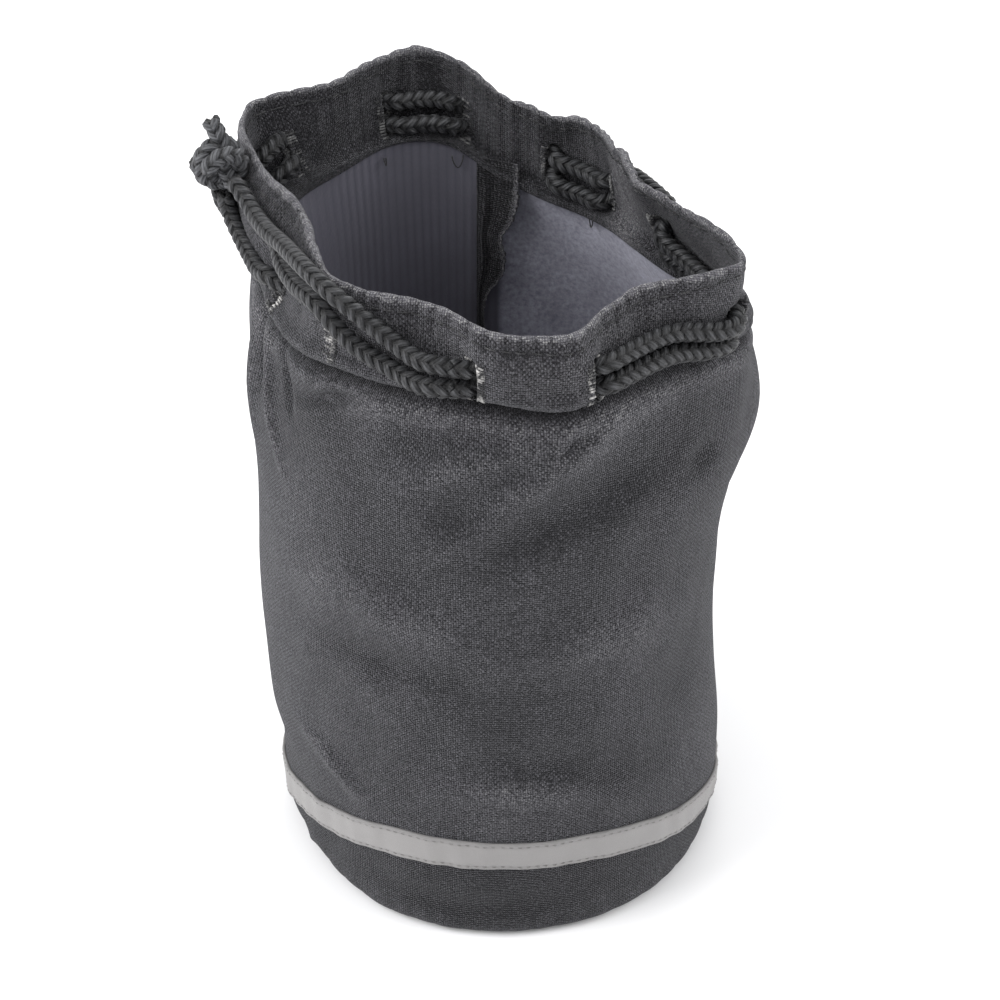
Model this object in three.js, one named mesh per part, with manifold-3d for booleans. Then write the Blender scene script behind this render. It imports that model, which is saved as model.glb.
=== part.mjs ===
// A drawstring lens pouch: a padded cloth tube on a round base, with a folded collar that a
// doubled braided cord is woven through. Millimetres, +Z up, the front of the pouch faces -Y.
// Angles are in degrees round the pouch, from the front (0) towards the right (90 is +X).
import * as THREE from 'three';
import { mergeVertices } from 'three/addons/utils/BufferGeometryUtils.js';
import Module from 'manifold-3d';

// Driving dimensions
const bodyRadius = 50;        // nominal radius of the padded tube
const seamHeight = 140;       // height of the seam where the collar starts
const rimHeight = 160;        // height of the collar's folded rim
const canvas = 0.8;           // thickness of the waxed canvas
const foam = 3;               // thickness of the padding
const lining = 0.8;           // thickness of the brushed lining
const gap = 0.3;              // clearance between neighbouring layers
const collarThickness = 2.4;  // both leaves of the collar pressed together, at the rim
const collarPuff = 1.2;       // how far the collar bulges between seam and rim
const collarWave = 1.1;       // how far the cord pushes each panel of the collar aside
const tapeWidth = 7.6;        // the satin tape sewn round the foot
const tapeThickness = 0.6;
const cordDiameter = 3.8;     // the braided cord, which runs doubled through the collar
const cordClearance = 0.8;    // between the cord and the collar, and between its two strands
const slitClearance = 1.2;    // round the cord where it passes a slit
const slitHeight = 8.6;       // buttonhole slits in the collar
const slitWidth = 1.2;
const threadThickness = 0.5;  // raised stitching beside a slit
const threadWidth = 1.8;
const knotWidth = 11.7;       // the overhand knot that holds the cord ends together
const knotHeight = 11.3;
const flapWidth = 4.5;        // raw seam allowance that stands up from the lining's side seam
const flapThickness = 1;
const flapFoot = 14;          // height of the flap's lower end

// Mesh fineness
const columns = 48;           // steps round the pouch
const cordSides = 8;          // sides of the cord's round section

// The tube's axis stands a little off the middle of the outline, because the mouth leans.
const axisX = 1.6;
const axisY = -0.6;

// Shares round the pouch, evenly spaced from the front towards the right.
// Radii are shares of bodyRadius, at levels that are shares of the seam's height.
const levelShares = [0.04, 0.17, 0.43, 0.66, 0.81, 1];
const levelRadiusShares = [
  [1.02, 1.01, 1.02, 1.02, 1.0, 1.0, 1.0, 1.0, 1.0, 1.01, 0.985, 1.0],
  [0.99, 1.01, 1.02, 1.02, 1.0, 1.0, 1.0, 1.0, 1.03, 1.06, 1.01, 0.99],
  [1.0, 1.0, 0.99, 0.965, 0.98, 1.0, 1.0, 1.0, 1.04, 1.075, 1.03, 1.0],
  [1.0, 1.01, 1.0, 0.985, 0.98, 0.99, 1.0, 1.0, 1.04, 1.07, 1.03, 1.0],
  [1.0, 1.02, 1.06, 1.08, 1.0, 0.98, 0.98, 1.02, 1.06, 1.08, 1.0, 0.98],
  [0.94, 1.0, 0.94, 0.93, 0.99, 1.06, 0.98, 0.84, 0.78, 0.8, 0.84, 0.86,
    0.92, 1.0, 1.05, 1.07, 1.12, 1.09, 0.99, 0.96, 0.94, 0.88, 0.87, 0.88],
];
const rimRadiusShares = [0.97, 0.97, 0.87, 0.88, 1.12, 0.8, 0.57, 0.56, 0.6, 0.67, 0.78, 0.8,
  0.89, 1.04, 1.07, 1.08, 1.27, 1.08, 0.86, 0.81, 0.86, 0.93, 0.88, 0.85];
// Heights are shares of seamHeight and rimHeight.
const seamHeightShares = [1.0, 0.995, 1.0, 1.0, 0.99, 0.985, 0.99, 1.0, 1.01, 1.01, 1.01, 1.02,
  1.04, 1.08, 1.085, 1.075, 1.06, 1.04, 1.0, 0.99, 0.985, 0.985, 0.99, 1.0];
const rimHeightShares = [0.98, 0.972, 0.98, 0.99, 1.005, 1.015, 1.02, 1.02, 1.02, 1.012, 1.006, 1.006,
  1.02, 1.06, 1.062, 1.05, 1.038, 1.02, 1.006, 1.0, 1.0, 1.0, 0.994, 0.988];
// The foot's rounding, as shares of bodyRadius: tight in front, wide at the tucked sides.
const footRoundingShares = [0.07, 0.07, 0.1, 0.14, 0.12, 0.1, 0.1, 0.1, 0.12, 0.16, 0.12, 0.08];
// The tape's lower edge, as shares of seamHeight: it dips where the sides are tucked under.
const tapeHeightShares = [0.146, 0.136, 0.09, 0.046, 0.086, 0.13,
  0.143, 0.13, 0.086, 0.046, 0.09, 0.137];

const turn = 360;
const columnStep = turn / columns;
const radians = (degrees) => (degrees * Math.PI) / 180;
const mix = (a, b, t) => a + (b - a) * t;
const clamp = (x) => Math.min(1, Math.max(0, x));
const smooth = (x) => clamp(x) ** 2 * (3 - 2 * clamp(x));

// Value of a closed table at an angle, with a Catmull-Rom curve between its entries.
function around(shares, angle) {
  const n = shares.length;
  const t = ((((angle % turn) + turn) % turn) * n) / turn;
  const i = Math.floor(t);
  const f = t - i;
  const [a, b, c, d] = [-1, 0, 1, 2].map((k) => shares[(i + k + n) % n]);
  return b + (f / 2) * (c - a + f * (2 * a - 5 * b + 4 * c - d + f * (3 * (b - c) + d - a)));
}

// Cubic curve through the points (xs, ys), straight on past its ends.
function through(xs, ys, x) {
  const last = xs.length - 1;
  const slope = (i) => {
    const lo = Math.max(0, i - 1);
    const hi = Math.min(last, i + 1);
    return (ys[hi] - ys[lo]) / (xs[hi] - xs[lo]);
  };
  if (x <= xs[0]) return ys[0];
  if (x >= xs[last]) return ys[last];
  let i = 0;
  while (x > xs[i + 1]) i += 1;
  const h = xs[i + 1] - xs[i];
  const t = (x - xs[i]) / h;
  const rise = ys[i] * (1 + 2 * t) * (1 - t) ** 2 + ys[i + 1] * t * t * (3 - 2 * t);
  return rise + h * t * (1 - t) * ((1 - t) * slope(i) - t * slope(i + 1));
}

// The outer face of the canvas tube
const seamZ = (angle) => seamHeight * around(seamHeightShares, angle);
const rimZ = (angle) => rimHeight * around(rimHeightShares, angle);
const rounding = (angle) => bodyRadius * around(footRoundingShares, angle);

function bodyRadiusAt(angle, z) {
  const radii = levelRadiusShares.map((shares) => bodyRadius * around(shares, angle));
  const corner = rounding(angle);
  const drop = clamp(1 - z / corner);
  return through(levelShares, radii, z / seamZ(angle)) - corner * (1 - Math.sqrt(1 - drop * drop));
}

// A point at an angle, a radius and a height
function at(angle, radius, z) {
  const turned = radians(angle);
  return new THREE.Vector3(axisX + radius * Math.sin(turned), axisY - radius * Math.cos(turned), z);
}

// A closed mesh from points and triangles, turned so that its faces point out.
function closedGeometry(points, triangles) {
  let volume = 0;
  for (const [i, j, k] of triangles) {
    volume += points[i].dot(new THREE.Vector3().crossVectors(points[j], points[k]));
  }
  const index = triangles.flatMap(([i, j, k]) => (volume < 0 ? [i, k, j] : [i, j, k]));
  const geometry = new THREE.BufferGeometry();
  const values = points.flatMap((p) => p.toArray());
  geometry.setAttribute('position', new THREE.Float32BufferAttribute(values, 3));
  geometry.setIndex(index);
  geometry.computeVertexNormals();
  return geometry;
}

// A wall that runs all the way round: profile(angle) is its closed section as [radius, z] pairs.
// Faces that meet across a gap are split along the same diagonals, so that the gap stays even.
function ringWall(profile) {
  const points = [];
  const triangles = [];
  for (let i = 0; i < columns; i += 1) {
    const angle = i * columnStep;
    for (const [radius, z] of profile(angle)) points.push(at(angle, radius, z));
  }
  const n = points.length / columns;
  for (let i = 0; i < columns; i += 1) {
    for (let j = 0; j < n; j += 1) {
      const [a, b] = [i * n + j, i * n + ((j + 1) % n)];
      const next = ((i + 1) % columns) * n;
      const [c, d] = [next + j, next + ((j + 1) % n)];
      if (points[b].z > points[a].z) triangles.push([a, b, d], [a, d, c]);
      else triangles.push([a, b, c], [b, d, c]);
    }
  }
  return closedGeometry(points, triangles);
}

// A flat disc between two heights, with its edge at radiusAt(angle).
function disc(radiusAt, low, high) {
  const outline = [];
  for (let i = 0; i < columns; i += 1) {
    const p = at(i * columnStep, radiusAt(i * columnStep), low);
    outline.push(new THREE.Vector2(p.x, p.y));
  }
  const geometry = new THREE.ExtrudeGeometry(new THREE.Shape(outline),
    { depth: high - low, bevelEnabled: false });
  return geometry.translate(0, 0, low);
}

// Directions at each point of a path: across it, as near to its up as can be, and out.
function frames(path, ups) {
  return path.map((p, i) => {
    const ahead = path[Math.min(i + 1, path.length - 1)];
    const along = ahead.clone().sub(path[Math.max(i - 1, 0)]).normalize();
    const across = ups[i].clone().addScaledVector(along, -along.dot(ups[i])).normalize();
    return { p, across, out: new THREE.Vector3().crossVectors(along, across) };
  });
}

// A closed tube along a path. Its section is a list of [across, out] pairs.
function sweep(path, section, ups = path.map(() => new THREE.Vector3(0, 0, 1))) {
  const points = frames(path, ups).flatMap(({ p, across, out }) => section.map(([a, b]) => (
    p.clone().addScaledVector(across, a).addScaledVector(out, b))));
  const sides = section.length;
  const triangles = [];
  for (let i = 0; i + 1 < path.length; i += 1) {
    for (let k = 0; k < sides; k += 1) {
      const [a, b] = [i * sides + k, i * sides + ((k + 1) % sides)];
      triangles.push([a, b, b + sides], [a, b + sides, a + sides]);
    }
  }
  const last = (path.length - 1) * sides;
  for (let k = 1; k + 1 < sides; k += 1) {
    triangles.push([0, k + 1, k], [last, last + k, last + k + 1]);
  }
  return closedGeometry(points, triangles);
}

// A section with round ends, as corners on two half circles that lie apart across the path
function stadium(apart, diameter) {
  const section = [];
  for (let k = 0; k < cordSides; k += 1) {
    const turned = (2 * Math.PI * (k + 0.5)) / cordSides;
    const [across, out] = [Math.cos(turned), Math.sin(turned)];
    section.push([(Math.sign(across) * apart + across * diameter) / 2, (out * diameter) / 2]);
  }
  return section;
}
const cordSection = stadium(0, cordDiameter);

// Booleans
const wasm = await Module();
wasm.setup();

function solid(geometry) {
  const bare = geometry.clone();
  bare.deleteAttribute('normal');
  bare.deleteAttribute('uv');
  const merged = mergeVertices(bare);
  return new wasm.Manifold(new wasm.Mesh({
    numProp: 3,
    vertProperties: new Float32Array(merged.attributes.position.array),
    triVerts: new Uint32Array(merged.index.array),
  }));
}

function geometryOf(body) {
  const mesh = body.getMesh();
  const geometry = new THREE.BufferGeometry();
  geometry.setAttribute('position', new THREE.Float32BufferAttribute(mesh.vertProperties, 3));
  geometry.setIndex(Array.from(mesh.triVerts));
  geometry.computeVertexNormals();
  return geometry;
}

// Materials
const finish = (color, roughness) => new THREE.MeshStandardMaterial({ color, roughness, metalness: 0 });
const canvasFinish = finish('#47474b', 0.85);
const liningFinish = finish('#56565f', 0.95);
const foamFinish = finish('#8e8e8c', 0.95);
const tapeFinish = finish('#84807f', 0.5);
const cordFinish = finish('#35383a', 0.6);
const threadFinish = finish('#a7a39f', 0.8);

const pouch = new THREE.Group();
function add(name, geometry, material) {
  const mesh = new THREE.Mesh(geometry, material);
  mesh.name = name;
  pouch.add(mesh);
}

// Layers of the padded wall. Depths are measured inwards from the canvas's outer face.
const paddingDepth = canvas + gap;
const liningDepth = paddingDepth + foam + gap;
const wallThickness = liningDepth + lining;
const floorGap = 0.4;         // the shell's lower edge above the ground
const basePaddingZ = canvas + gap;
const liningBaseZ = basePaddingZ + foam + gap;
const liningTubeZ = liningBaseZ + lining + gap;
const rowShares = [0.16, 0.27, 0.4, 0.53, 0.66, 0.79, 0.9, 1];
const footRowShares = [0, 0.12, 0.35, 0.65, 1];
const shellRows = (angle) => {
  const foot = footRowShares.map((share) => mix(floorGap, rounding(angle), share));
  return [...foot, ...rowShares.map((share) => share * seamZ(angle))];
};
const layerRows = (low) => (angle) => {
  const foot = Math.max(rounding(angle), low + gap);
  return [low, foot, ...rowShares.map((share) => share * seamZ(angle))];
};

function wallLayer(rowsAt, depth, thickness) {
  return ringWall((angle) => {
    const rows = rowsAt(angle).map((z) => [bodyRadiusAt(angle, z) - depth, z]);
    return [...rows, ...rows.map(([radius, z]) => [radius - thickness, z]).reverse()];
  });
}
const insideAt = (z, depth) => (angle) => bodyRadiusAt(angle, z) - depth;

add('outer_shell', wallLayer(shellRows, 0, canvas), canvasFinish);
add('base_disc', disc(insideAt(floorGap, canvas + gap), 0, canvas), canvasFinish);
add('base_padding',
  disc(insideAt(basePaddingZ, paddingDepth), basePaddingZ, basePaddingZ + foam), foamFinish);
add('body_padding', wallLayer(layerRows(liningBaseZ), paddingDepth, foam), foamFinish);
add('lining_base',
  disc(insideAt(liningBaseZ, wallThickness + gap), liningBaseZ, liningBaseZ + lining), liningFinish);
add('lining_tube', wallLayer(layerRows(liningTubeZ), liningDepth, lining), liningFinish);

// The tape round the foot
const tapeRowShares = [0, 0.5, 1];
add('trim_strip', ringWall((angle) => {
  const low = seamHeight * around(tapeHeightShares, angle);
  const rows = tapeRowShares.map((share) => low + share * tapeWidth);
  const outward = rows.map((z) => [bodyRadiusAt(angle, z) + gap + tapeThickness, z]);
  return [...outward, ...rows.map((z) => [bodyRadiusAt(angle, z) + gap, z]).reverse()];
}), tapeFinish);

// The collar: share 0 is at the seam, 1 at the rim. Side is 1 where the cord lies outside
// the collar, -1 where it lies inside, and passes through 0 in a slit.
const slitAngles = [-6, 22, 64, 106, 138, 164, 190, 210, 235, 246];
const tuckedSlit = 284;        // the slit that a cut end of the cord is tucked into
const spareSlit = 312;         // the slit that the cord passes over
const slitShare = 0.3;
const crossing = 8.5;          // length of cord that passes through a slit
const lipReach = 1.7;          // from the middle of a slit to its stitched lip

const collarBottom = (angle) => seamZ(angle) + gap;
const collarZ = (angle, share) => mix(collarBottom(angle), rimZ(angle), share);
const seamRadius = (angle) => bodyRadiusAt(angle, seamZ(angle));
const rimRadius = (angle) => bodyRadius * around(rimRadiusShares, angle);
const bulge = (share) => Math.sin(Math.PI * clamp(share));
const degreesAlong = (length) => ((length / bodyRadius) * 180) / Math.PI;
const halfCrossing = degreesAlong(crossing / 2);

function sideAt(angle) {
  const wrapped = angle > slitAngles[slitAngles.length - 1] + halfCrossing ? angle - turn : angle;
  let side = 1;
  slitAngles.forEach((slit, i) => {
    const step = 2 * smooth((wrapped - slit + halfCrossing) / (2 * halfCrossing));
    side += i % 2 === 0 ? -step : step;
  });
  return side;
}

function collarRadius(angle, share) {
  const flat = mix(seamRadius(angle), rimRadius(angle), share);
  return flat + (collarPuff - collarWave * sideAt(angle)) * bulge(share);
}
const collarDepth = (share) => mix(collarThickness, wallThickness, (1 - clamp(share)) ** 6);

const collarMiddle = (angle, share) => collarRadius(angle, share) - collarDepth(share) / 2;
const collarRise = (angle) => rimZ(angle) - collarBottom(angle);
const collarLean = (angle) => rimRadius(angle) - seamRadius(angle);
const collarWidth = (angle) => Math.hypot(collarRise(angle), collarLean(angle));

const leafShares = [0, 0.1, 0.25, 0.55, 0.9];
const foldShares = [0.2, 0.5, 0.8];
function collarSection(angle) {
  const face = (share, depth) => [collarRadius(angle, share) - depth, collarZ(angle, share)];
  const top = leafShares[leafShares.length - 1];
  const fold = foldShares.map((share) => {
    const radius = collarMiddle(angle, 1) + (collarThickness / 2) * Math.cos(Math.PI * share);
    return [radius, mix(collarZ(angle, top), rimZ(angle), Math.sin(Math.PI * share))];
  });
  return [
    ...leafShares.map((share) => face(share, 0)),
    ...fold,
    ...leafShares.map((share) => face(share, collarDepth(share))).reverse(),
    ...leafShares.map((share) => face(share, collarDepth(share) - canvas)),
    ...leafShares.map((share) => face(share, canvas)).reverse(),
  ];
}

// A curved plate on the collar between two angles and two shares, and between two depths.
function plate(angles, shares, outer, inner) {
  const points = [];
  const triangles = [];
  for (const depth of [outer, inner]) {
    for (const angle of angles) {
      for (const share of shares) {
        points.push(at(angle, collarRadius(angle, share) - depth, collarZ(angle, share)));
      }
    }
  }
  const n = shares.length;
  const face = angles.length * n;
  const edge = [];
  for (let j = 0; j < n; j += 1) edge.push(j);
  for (let i = 1; i < angles.length; i += 1) edge.push(i * n + n - 1);
  for (let j = n - 2; j >= 0; j -= 1) edge.push((angles.length - 1) * n + j);
  for (let i = angles.length - 2; i > 0; i -= 1) edge.push(i * n);
  for (let i = 0; i + 1 < angles.length; i += 1) {
    for (let j = 0; j + 1 < n; j += 1) {
      const [a, b, c, d] = [i * n + j, i * n + j + 1, (i + 1) * n + j, (i + 1) * n + j + 1];
      triangles.push([a, b, d], [a, d, c]);
      triangles.push([a + face, d + face, b + face], [a + face, c + face, d + face]);
    }
  }
  edge.forEach((a, k) => {
    const b = edge[(k + 1) % edge.length];
    triangles.push([a, b + face, b], [a, a + face, b + face]);
  });
  return closedGeometry(points, triangles);
}

// The held part of the cord, doubled, woven from the first slit round the back to the last one
const crossingSteps = [-1, -0.5, 0, 0.5, 1];
// Where a strand lies: lift is along the collar from the middle of the slits, side is across it.
function cordAt(angle, side, lift) {
  const share = slitShare + lift / collarWidth(angle);
  const depth = collarDepth(share);
  const thickest = collarDepth(share - cordDiameter / 2 / collarWidth(angle));
  const half = side < 0 ? thickest - depth / 2 : depth / 2;
  const reach = side * (half + cordClearance + cordDiameter / 2);
  const radius = collarMiddle(angle, share) + (reach * collarRise(angle)) / collarWidth(angle);
  return at(angle, radius, collarZ(angle, share) - (reach * collarLean(angle)) / collarWidth(angle));
}
const strandPitch = cordDiameter + cordClearance;
const strandLifts = { upper: strandPitch / 2, lower: -strandPitch / 2 };
const crossingAngles = (slit) => crossingSteps.map((step) => slit + step * halfCrossing);
const wovenThrough = (angles, lift) => angles.map((angle) => cordAt(angle, sideAt(angle), lift));
function wovenAngles() {
  const angles = [];
  slitAngles.forEach((slit, i) => {
    angles.push(...crossingAngles(slit));
    if (i + 1 < slitAngles.length) {
      const [from, to] = [slit + halfCrossing, slitAngles[i + 1] - halfCrossing];
      let angle = (Math.floor(from / columnStep) + 1) * columnStep;
      for (; angle < to; angle += columnStep) angles.push(angle);
    }
  });
  return angles;
}
for (const [name, lift] of Object.entries(strandLifts)) {
  add(`drawstring_${name}`, sweep(wovenThrough(wovenAngles(), lift), cordSection), cordFinish);
}

// The free strands run from the woven cord to the knot. Their routes are lists of points.
const strands = {
  draw_strand_front_upper: [
    [-53.4, 6.1, 160.7], [-50.3, 2.3, 157.7], [-47.8, -2.7, 156.4], [-45.1, -9.4, 157],
    [-41.7, -16.6, 158.2], [-38.7, -24.4, 159.7], [-35.3, -31.7, 160.4], [-30.6, -37.5, 159],
    [-26.3, -39.7, 156.4], [-22.4, -40.9, 153.4], [-18.2, -42.3, 150.4], [-14.2, -44.8, 148.6],
    [-11, -46.4, 148.5], [-7.68, -46.78, 148.15],
  ],
  draw_strand_front_lower: [
    [-51.9, 9.3, 158.3], [-50.7, 7.2, 155.4], [-48.6, 2.8, 153.2], [-46, -2, 153.1],
    [-43.8, -7.3, 153.3], [-42.1, -14.4, 152.2], [-38.9, -23.7, 152.9], [-34.9, -31.7, 154.2],
    [-31.1, -35.5, 151.4], [-27.5, -37.5, 148.2], [-24, -39.4, 146.4], [-20.7, -40.9, 145.1],
    [-16.9, -43.4, 143.9], [-14.2, -45.7, 143.6], [-11.1, -47.3, 143.9], [-7.72, -47.05, 143.6],
  ],
  draw_strand_back_upper: [
    [-54.17, 18.33, 153.8], [-54.6, 16.8, 153.8], [-55, 15.9, 155], [-55.4, 15.4, 156.7],
  ],
  draw_strand_back_lower: [
    [-53.8, 18.05, 149.18], [-54.6, 16.7, 149], [-55.7, 14.8, 149.6], [-56.7, 13.2, 152],
    [-57.2, 12.2, 155.5],
  ],
};
const strandStep = 3.5;
const fewestSteps = 4;
const route = (list) => {
  const curve = new THREE.CatmullRomCurve3(list.map((p) => new THREE.Vector3(...p)));
  const steps = Math.ceil(curve.getLength() / strandStep);
  return curve.getSpacedPoints(Math.max(fewestSteps, steps));
};
for (const [name, list] of Object.entries(strands)) add(name, sweep(route(list), cordSection), cordFinish);

// One cut end hangs down from the knot and is tucked through the slit at the left.
const tuckedRoute = [[-55.8, 8.6, 156.2], [-55.5, 8.9, 153.4], [-54.5, 8.5, 150.4], [-52.6, 5.7, 147.6],
  [-50.2, 0.5, 145.9], [-48.1, -4.6, 145.3]];
const tuckedReach = 6;         // degrees of collar that the tucked end lies behind
const tuckedSide = (step) => 1 - 2 * smooth((step + 1) / 2);
const tuckedEnd = [
  ...crossingSteps.map((step) => cordAt(tuckedSlit + step * halfCrossing, tuckedSide(step), 0)),
  cordAt(tuckedSlit + halfCrossing + tuckedReach, -1, 0),
];
add('draw_strand_left', sweep([...route(tuckedRoute), ...tuckedEnd], cordSection), cordFinish);

const knotMiddle = new THREE.Vector3(-56.9, 11.4, 162);
const [knotColumns, knotRows] = [14, 10];
const knot = new THREE.SphereGeometry(knotWidth / 2, knotColumns, knotRows).rotateX(radians(90));
knot.scale(1, 1, knotHeight / knotWidth).translate(...knotMiddle.toArray());
add('stopper_knot', geometryOf(solid(knot)), cordFinish);
const tailRoute = [[-57.8, 11.9, 168.1], [-58.1, 12.3, 170.6], [-58.2, 12.7, 173.2]];
add('cord_tail', sweep(route(tailRoute), cordSection), cordFinish);

const overrun = 2;
const span = (angle, width) => [-1, 0, 1].map((step) => angle + step * degreesAlong(width / 2));
const slitSpan = (angle) => {
  const half = slitHeight / 2 / collarWidth(angle);
  return [slitShare - half, slitShare, slitShare + half];
};
const slitCut = (angle) => (
  solid(plate(span(angle, slitWidth), slitSpan(angle), -overrun, wallThickness + overrun)));
const roomy = cordDiameter + 2 * slitClearance;
const passageReachShare = 1.6; // how far a passage runs, as a share of half a crossing
function passage(slit) {
  const [low, high] = [-1, 1].map((end) => slit + end * passageReachShare * halfCrossing);
  const [middle, upper] = [0, strandPitch / 2].map((lift) => (
    wovenThrough([low, ...crossingAngles(slit), high], lift)));
  const ups = upper.map((p, i) => p.clone().sub(middle[i]));
  return solid(sweep(middle, stadium(strandPitch, roomy), ups));
}
const tuckedPassage = solid(sweep(tuckedEnd, stadium(0, roomy)));

let collar = solid(ringWall(collarSection)).subtract(tuckedPassage);
for (const slit of slitAngles) collar = collar.subtract(passage(slit));
for (const slit of [...slitAngles, tuckedSlit, spareSlit]) collar = collar.subtract(slitCut(slit));
add('collar_band', geometryOf(collar), canvasFinish);

// Raised stitching beside each slit, on the lip that the cord doesn't lie on
const stitching = (angle) => (
  solid(plate(span(angle, threadWidth), slitSpan(angle), -gap - threadThickness, -gap)));
const lipAt = (slit, towards) => slit + towards * degreesAlong(lipReach + threadWidth / 2);
slitAngles.forEach((slit, i) => {
  const bar = stitching(lipAt(slit, i % 2 === 0 ? 1 : -1)).subtract(passage(slit));
  add(`slit_stitching_${i + 1}`, geometryOf(bar), threadFinish);
});
const tuckedBar = stitching(lipAt(tuckedSlit, 1)).subtract(tuckedPassage);
add(`slit_stitching_${slitAngles.length + 1}`, geometryOf(tuckedBar), threadFinish);
const spareBar = stitching(spareSlit + degreesAlong((slitWidth + threadWidth) / 2));
add(`slit_stitching_${slitAngles.length + 2}`, geometryOf(spareBar), threadFinish);

// The raw seam allowance that stands up inside, at the lining's side seam
const flapAngle = 181;
const flapRowShares = [0, 0.25, 0.5, 0.75, 1];
const flapSection = flapRowShares.map((share) => {
  const z = mix(flapFoot, seamZ(flapAngle), share);
  return [bodyRadiusAt(flapAngle, z) - wallThickness - gap, z];
});
const flapEdge = flapSection.map(([radius, z]) => [radius - flapWidth, z]).reverse();
const flapOutline = [...flapSection, ...flapEdge].map(([radius, z]) => new THREE.Vector2(radius, z));
const flap = new THREE.ExtrudeGeometry(new THREE.Shape(flapOutline),
  { depth: flapThickness, bevelEnabled: false });
flap.translate(0, 0, -flapThickness / 2).rotateX(radians(90)).rotateZ(radians(flapAngle - 90));
flap.translate(axisX, axisY, 0);
add('lining_seam_flap', flap, liningFinish);

export default pouch;
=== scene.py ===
# A drawstring lens pouch in washed canvas: its cloth, stitching, lining and braided cord are
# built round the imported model. Metres, +Z up, the front faces -Y. Angles are in degrees round
# the pouch, from the front (0) towards the right (90 is +X).
import math

import bmesh
import bpy
import numpy as np
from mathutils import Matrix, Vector


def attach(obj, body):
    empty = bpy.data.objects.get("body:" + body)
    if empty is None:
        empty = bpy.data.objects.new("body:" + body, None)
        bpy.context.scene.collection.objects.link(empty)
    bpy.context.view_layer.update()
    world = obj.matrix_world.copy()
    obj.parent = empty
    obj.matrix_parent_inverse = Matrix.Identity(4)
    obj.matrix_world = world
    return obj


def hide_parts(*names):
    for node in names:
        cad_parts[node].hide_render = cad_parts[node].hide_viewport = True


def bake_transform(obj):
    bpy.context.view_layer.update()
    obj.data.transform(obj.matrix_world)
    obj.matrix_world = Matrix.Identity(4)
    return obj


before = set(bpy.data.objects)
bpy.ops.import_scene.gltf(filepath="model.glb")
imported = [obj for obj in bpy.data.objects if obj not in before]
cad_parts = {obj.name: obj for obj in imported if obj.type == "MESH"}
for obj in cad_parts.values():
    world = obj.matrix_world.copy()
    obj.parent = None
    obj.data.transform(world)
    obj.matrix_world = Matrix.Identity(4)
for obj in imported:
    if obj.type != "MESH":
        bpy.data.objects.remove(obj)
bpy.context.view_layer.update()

MM = 0.001
TURN = 360

# Sizes of the real object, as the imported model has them
BODY_RADIUS = 50 * MM
SEAM_HEIGHT = 140 * MM
RIM_HEIGHT = 160 * MM
CANVAS = 0.8 * MM
FOAM = 3 * MM
LINING = 0.8 * MM
GAP = 0.3 * MM
COLLAR_THICKNESS = 2.4 * MM
COLLAR_PUFF = 1.2 * MM
COLLAR_WAVE = 1.1 * MM
TAPE_WIDTH = 7.6 * MM
TAPE_THICKNESS = 0.6 * MM
CORD_DIAMETER = 3.8 * MM
CORD_CLEARANCE = 0.8 * MM
PADDING_DEPTH = CANVAS + GAP
LINING_DEPTH = PADDING_DEPTH + FOAM + GAP
WALL = LINING_DEPTH + LINING
AXIS_X = 1.6 * MM
AXIS_Y = -0.6 * MM

# The camera of the photograph
LOOK_AT = Vector((0.0016, 0.0034, 0.082))
CAMERA_DISTANCE = 0.56
CAMERA_RISE = math.radians(35)
LENS = 90
SENSOR = 36

camera_data = bpy.data.cameras.new("camera")
camera_data.lens = LENS
camera_data.sensor_width = SENSOR
camera = bpy.data.objects.new("camera", camera_data)
bpy.context.scene.collection.objects.link(camera)
towards_camera = Vector((0, -math.cos(CAMERA_RISE), math.sin(CAMERA_RISE)))
camera.location = LOOK_AT + towards_camera * CAMERA_DISTANCE
camera.rotation_euler = (-towards_camera).to_track_quat("-Z", "Y").to_euler()
bpy.context.scene.camera = camera

# Shares round the pouch, evenly spaced from the front towards the right.
# Radii are shares of BODY_RADIUS, at levels that are shares of the seam's height.
LEVEL_SHARES = [0.04, 0.17, 0.43, 0.66, 0.81, 1]
LEVEL_RADIUS_SHARES = [
    [1.02, 1.01, 1.02, 1.02, 1.0, 1.0, 1.0, 1.0, 1.0, 1.01, 0.985, 1.0],
    [0.99, 1.01, 1.02, 1.02, 1.0, 1.0, 1.0, 1.0, 1.03, 1.06, 1.01, 0.99],
    [1.0, 1.0, 0.99, 0.965, 0.98, 1.0, 1.0, 1.0, 1.04, 1.075, 1.03, 1.0],
    [1.0, 1.01, 1.0, 0.985, 0.98, 0.99, 1.0, 1.0, 1.04, 1.07, 1.03, 1.0],
    [1.0, 1.02, 1.06, 1.08, 1.0, 0.98, 0.98, 1.02, 1.06, 1.08, 1.0, 0.98],
    [0.94, 1.0, 0.94, 0.93, 0.99, 1.06, 0.98, 0.84, 0.78, 0.8, 0.84, 0.86,
     0.92, 1.0, 1.05, 1.07, 1.12, 1.09, 0.99, 0.96, 0.94, 0.88, 0.87, 0.88],
]
RIM_RADIUS_SHARES = [0.97, 0.97, 0.87, 0.88, 1.12, 0.8, 0.57, 0.56, 0.6, 0.67, 0.78, 0.8,
                     0.89, 1.04, 1.07, 1.08, 1.27, 1.08, 0.86, 0.81, 0.86, 0.93, 0.88, 0.85]
SEAM_HEIGHT_SHARES = [1.0, 0.995, 1.0, 1.0, 0.99, 0.985, 0.99, 1.0, 1.01, 1.01, 1.01, 1.02,
                      1.04, 1.08, 1.085, 1.075, 1.06, 1.04, 1.0, 0.99, 0.985, 0.985, 0.99, 1.0]
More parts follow.
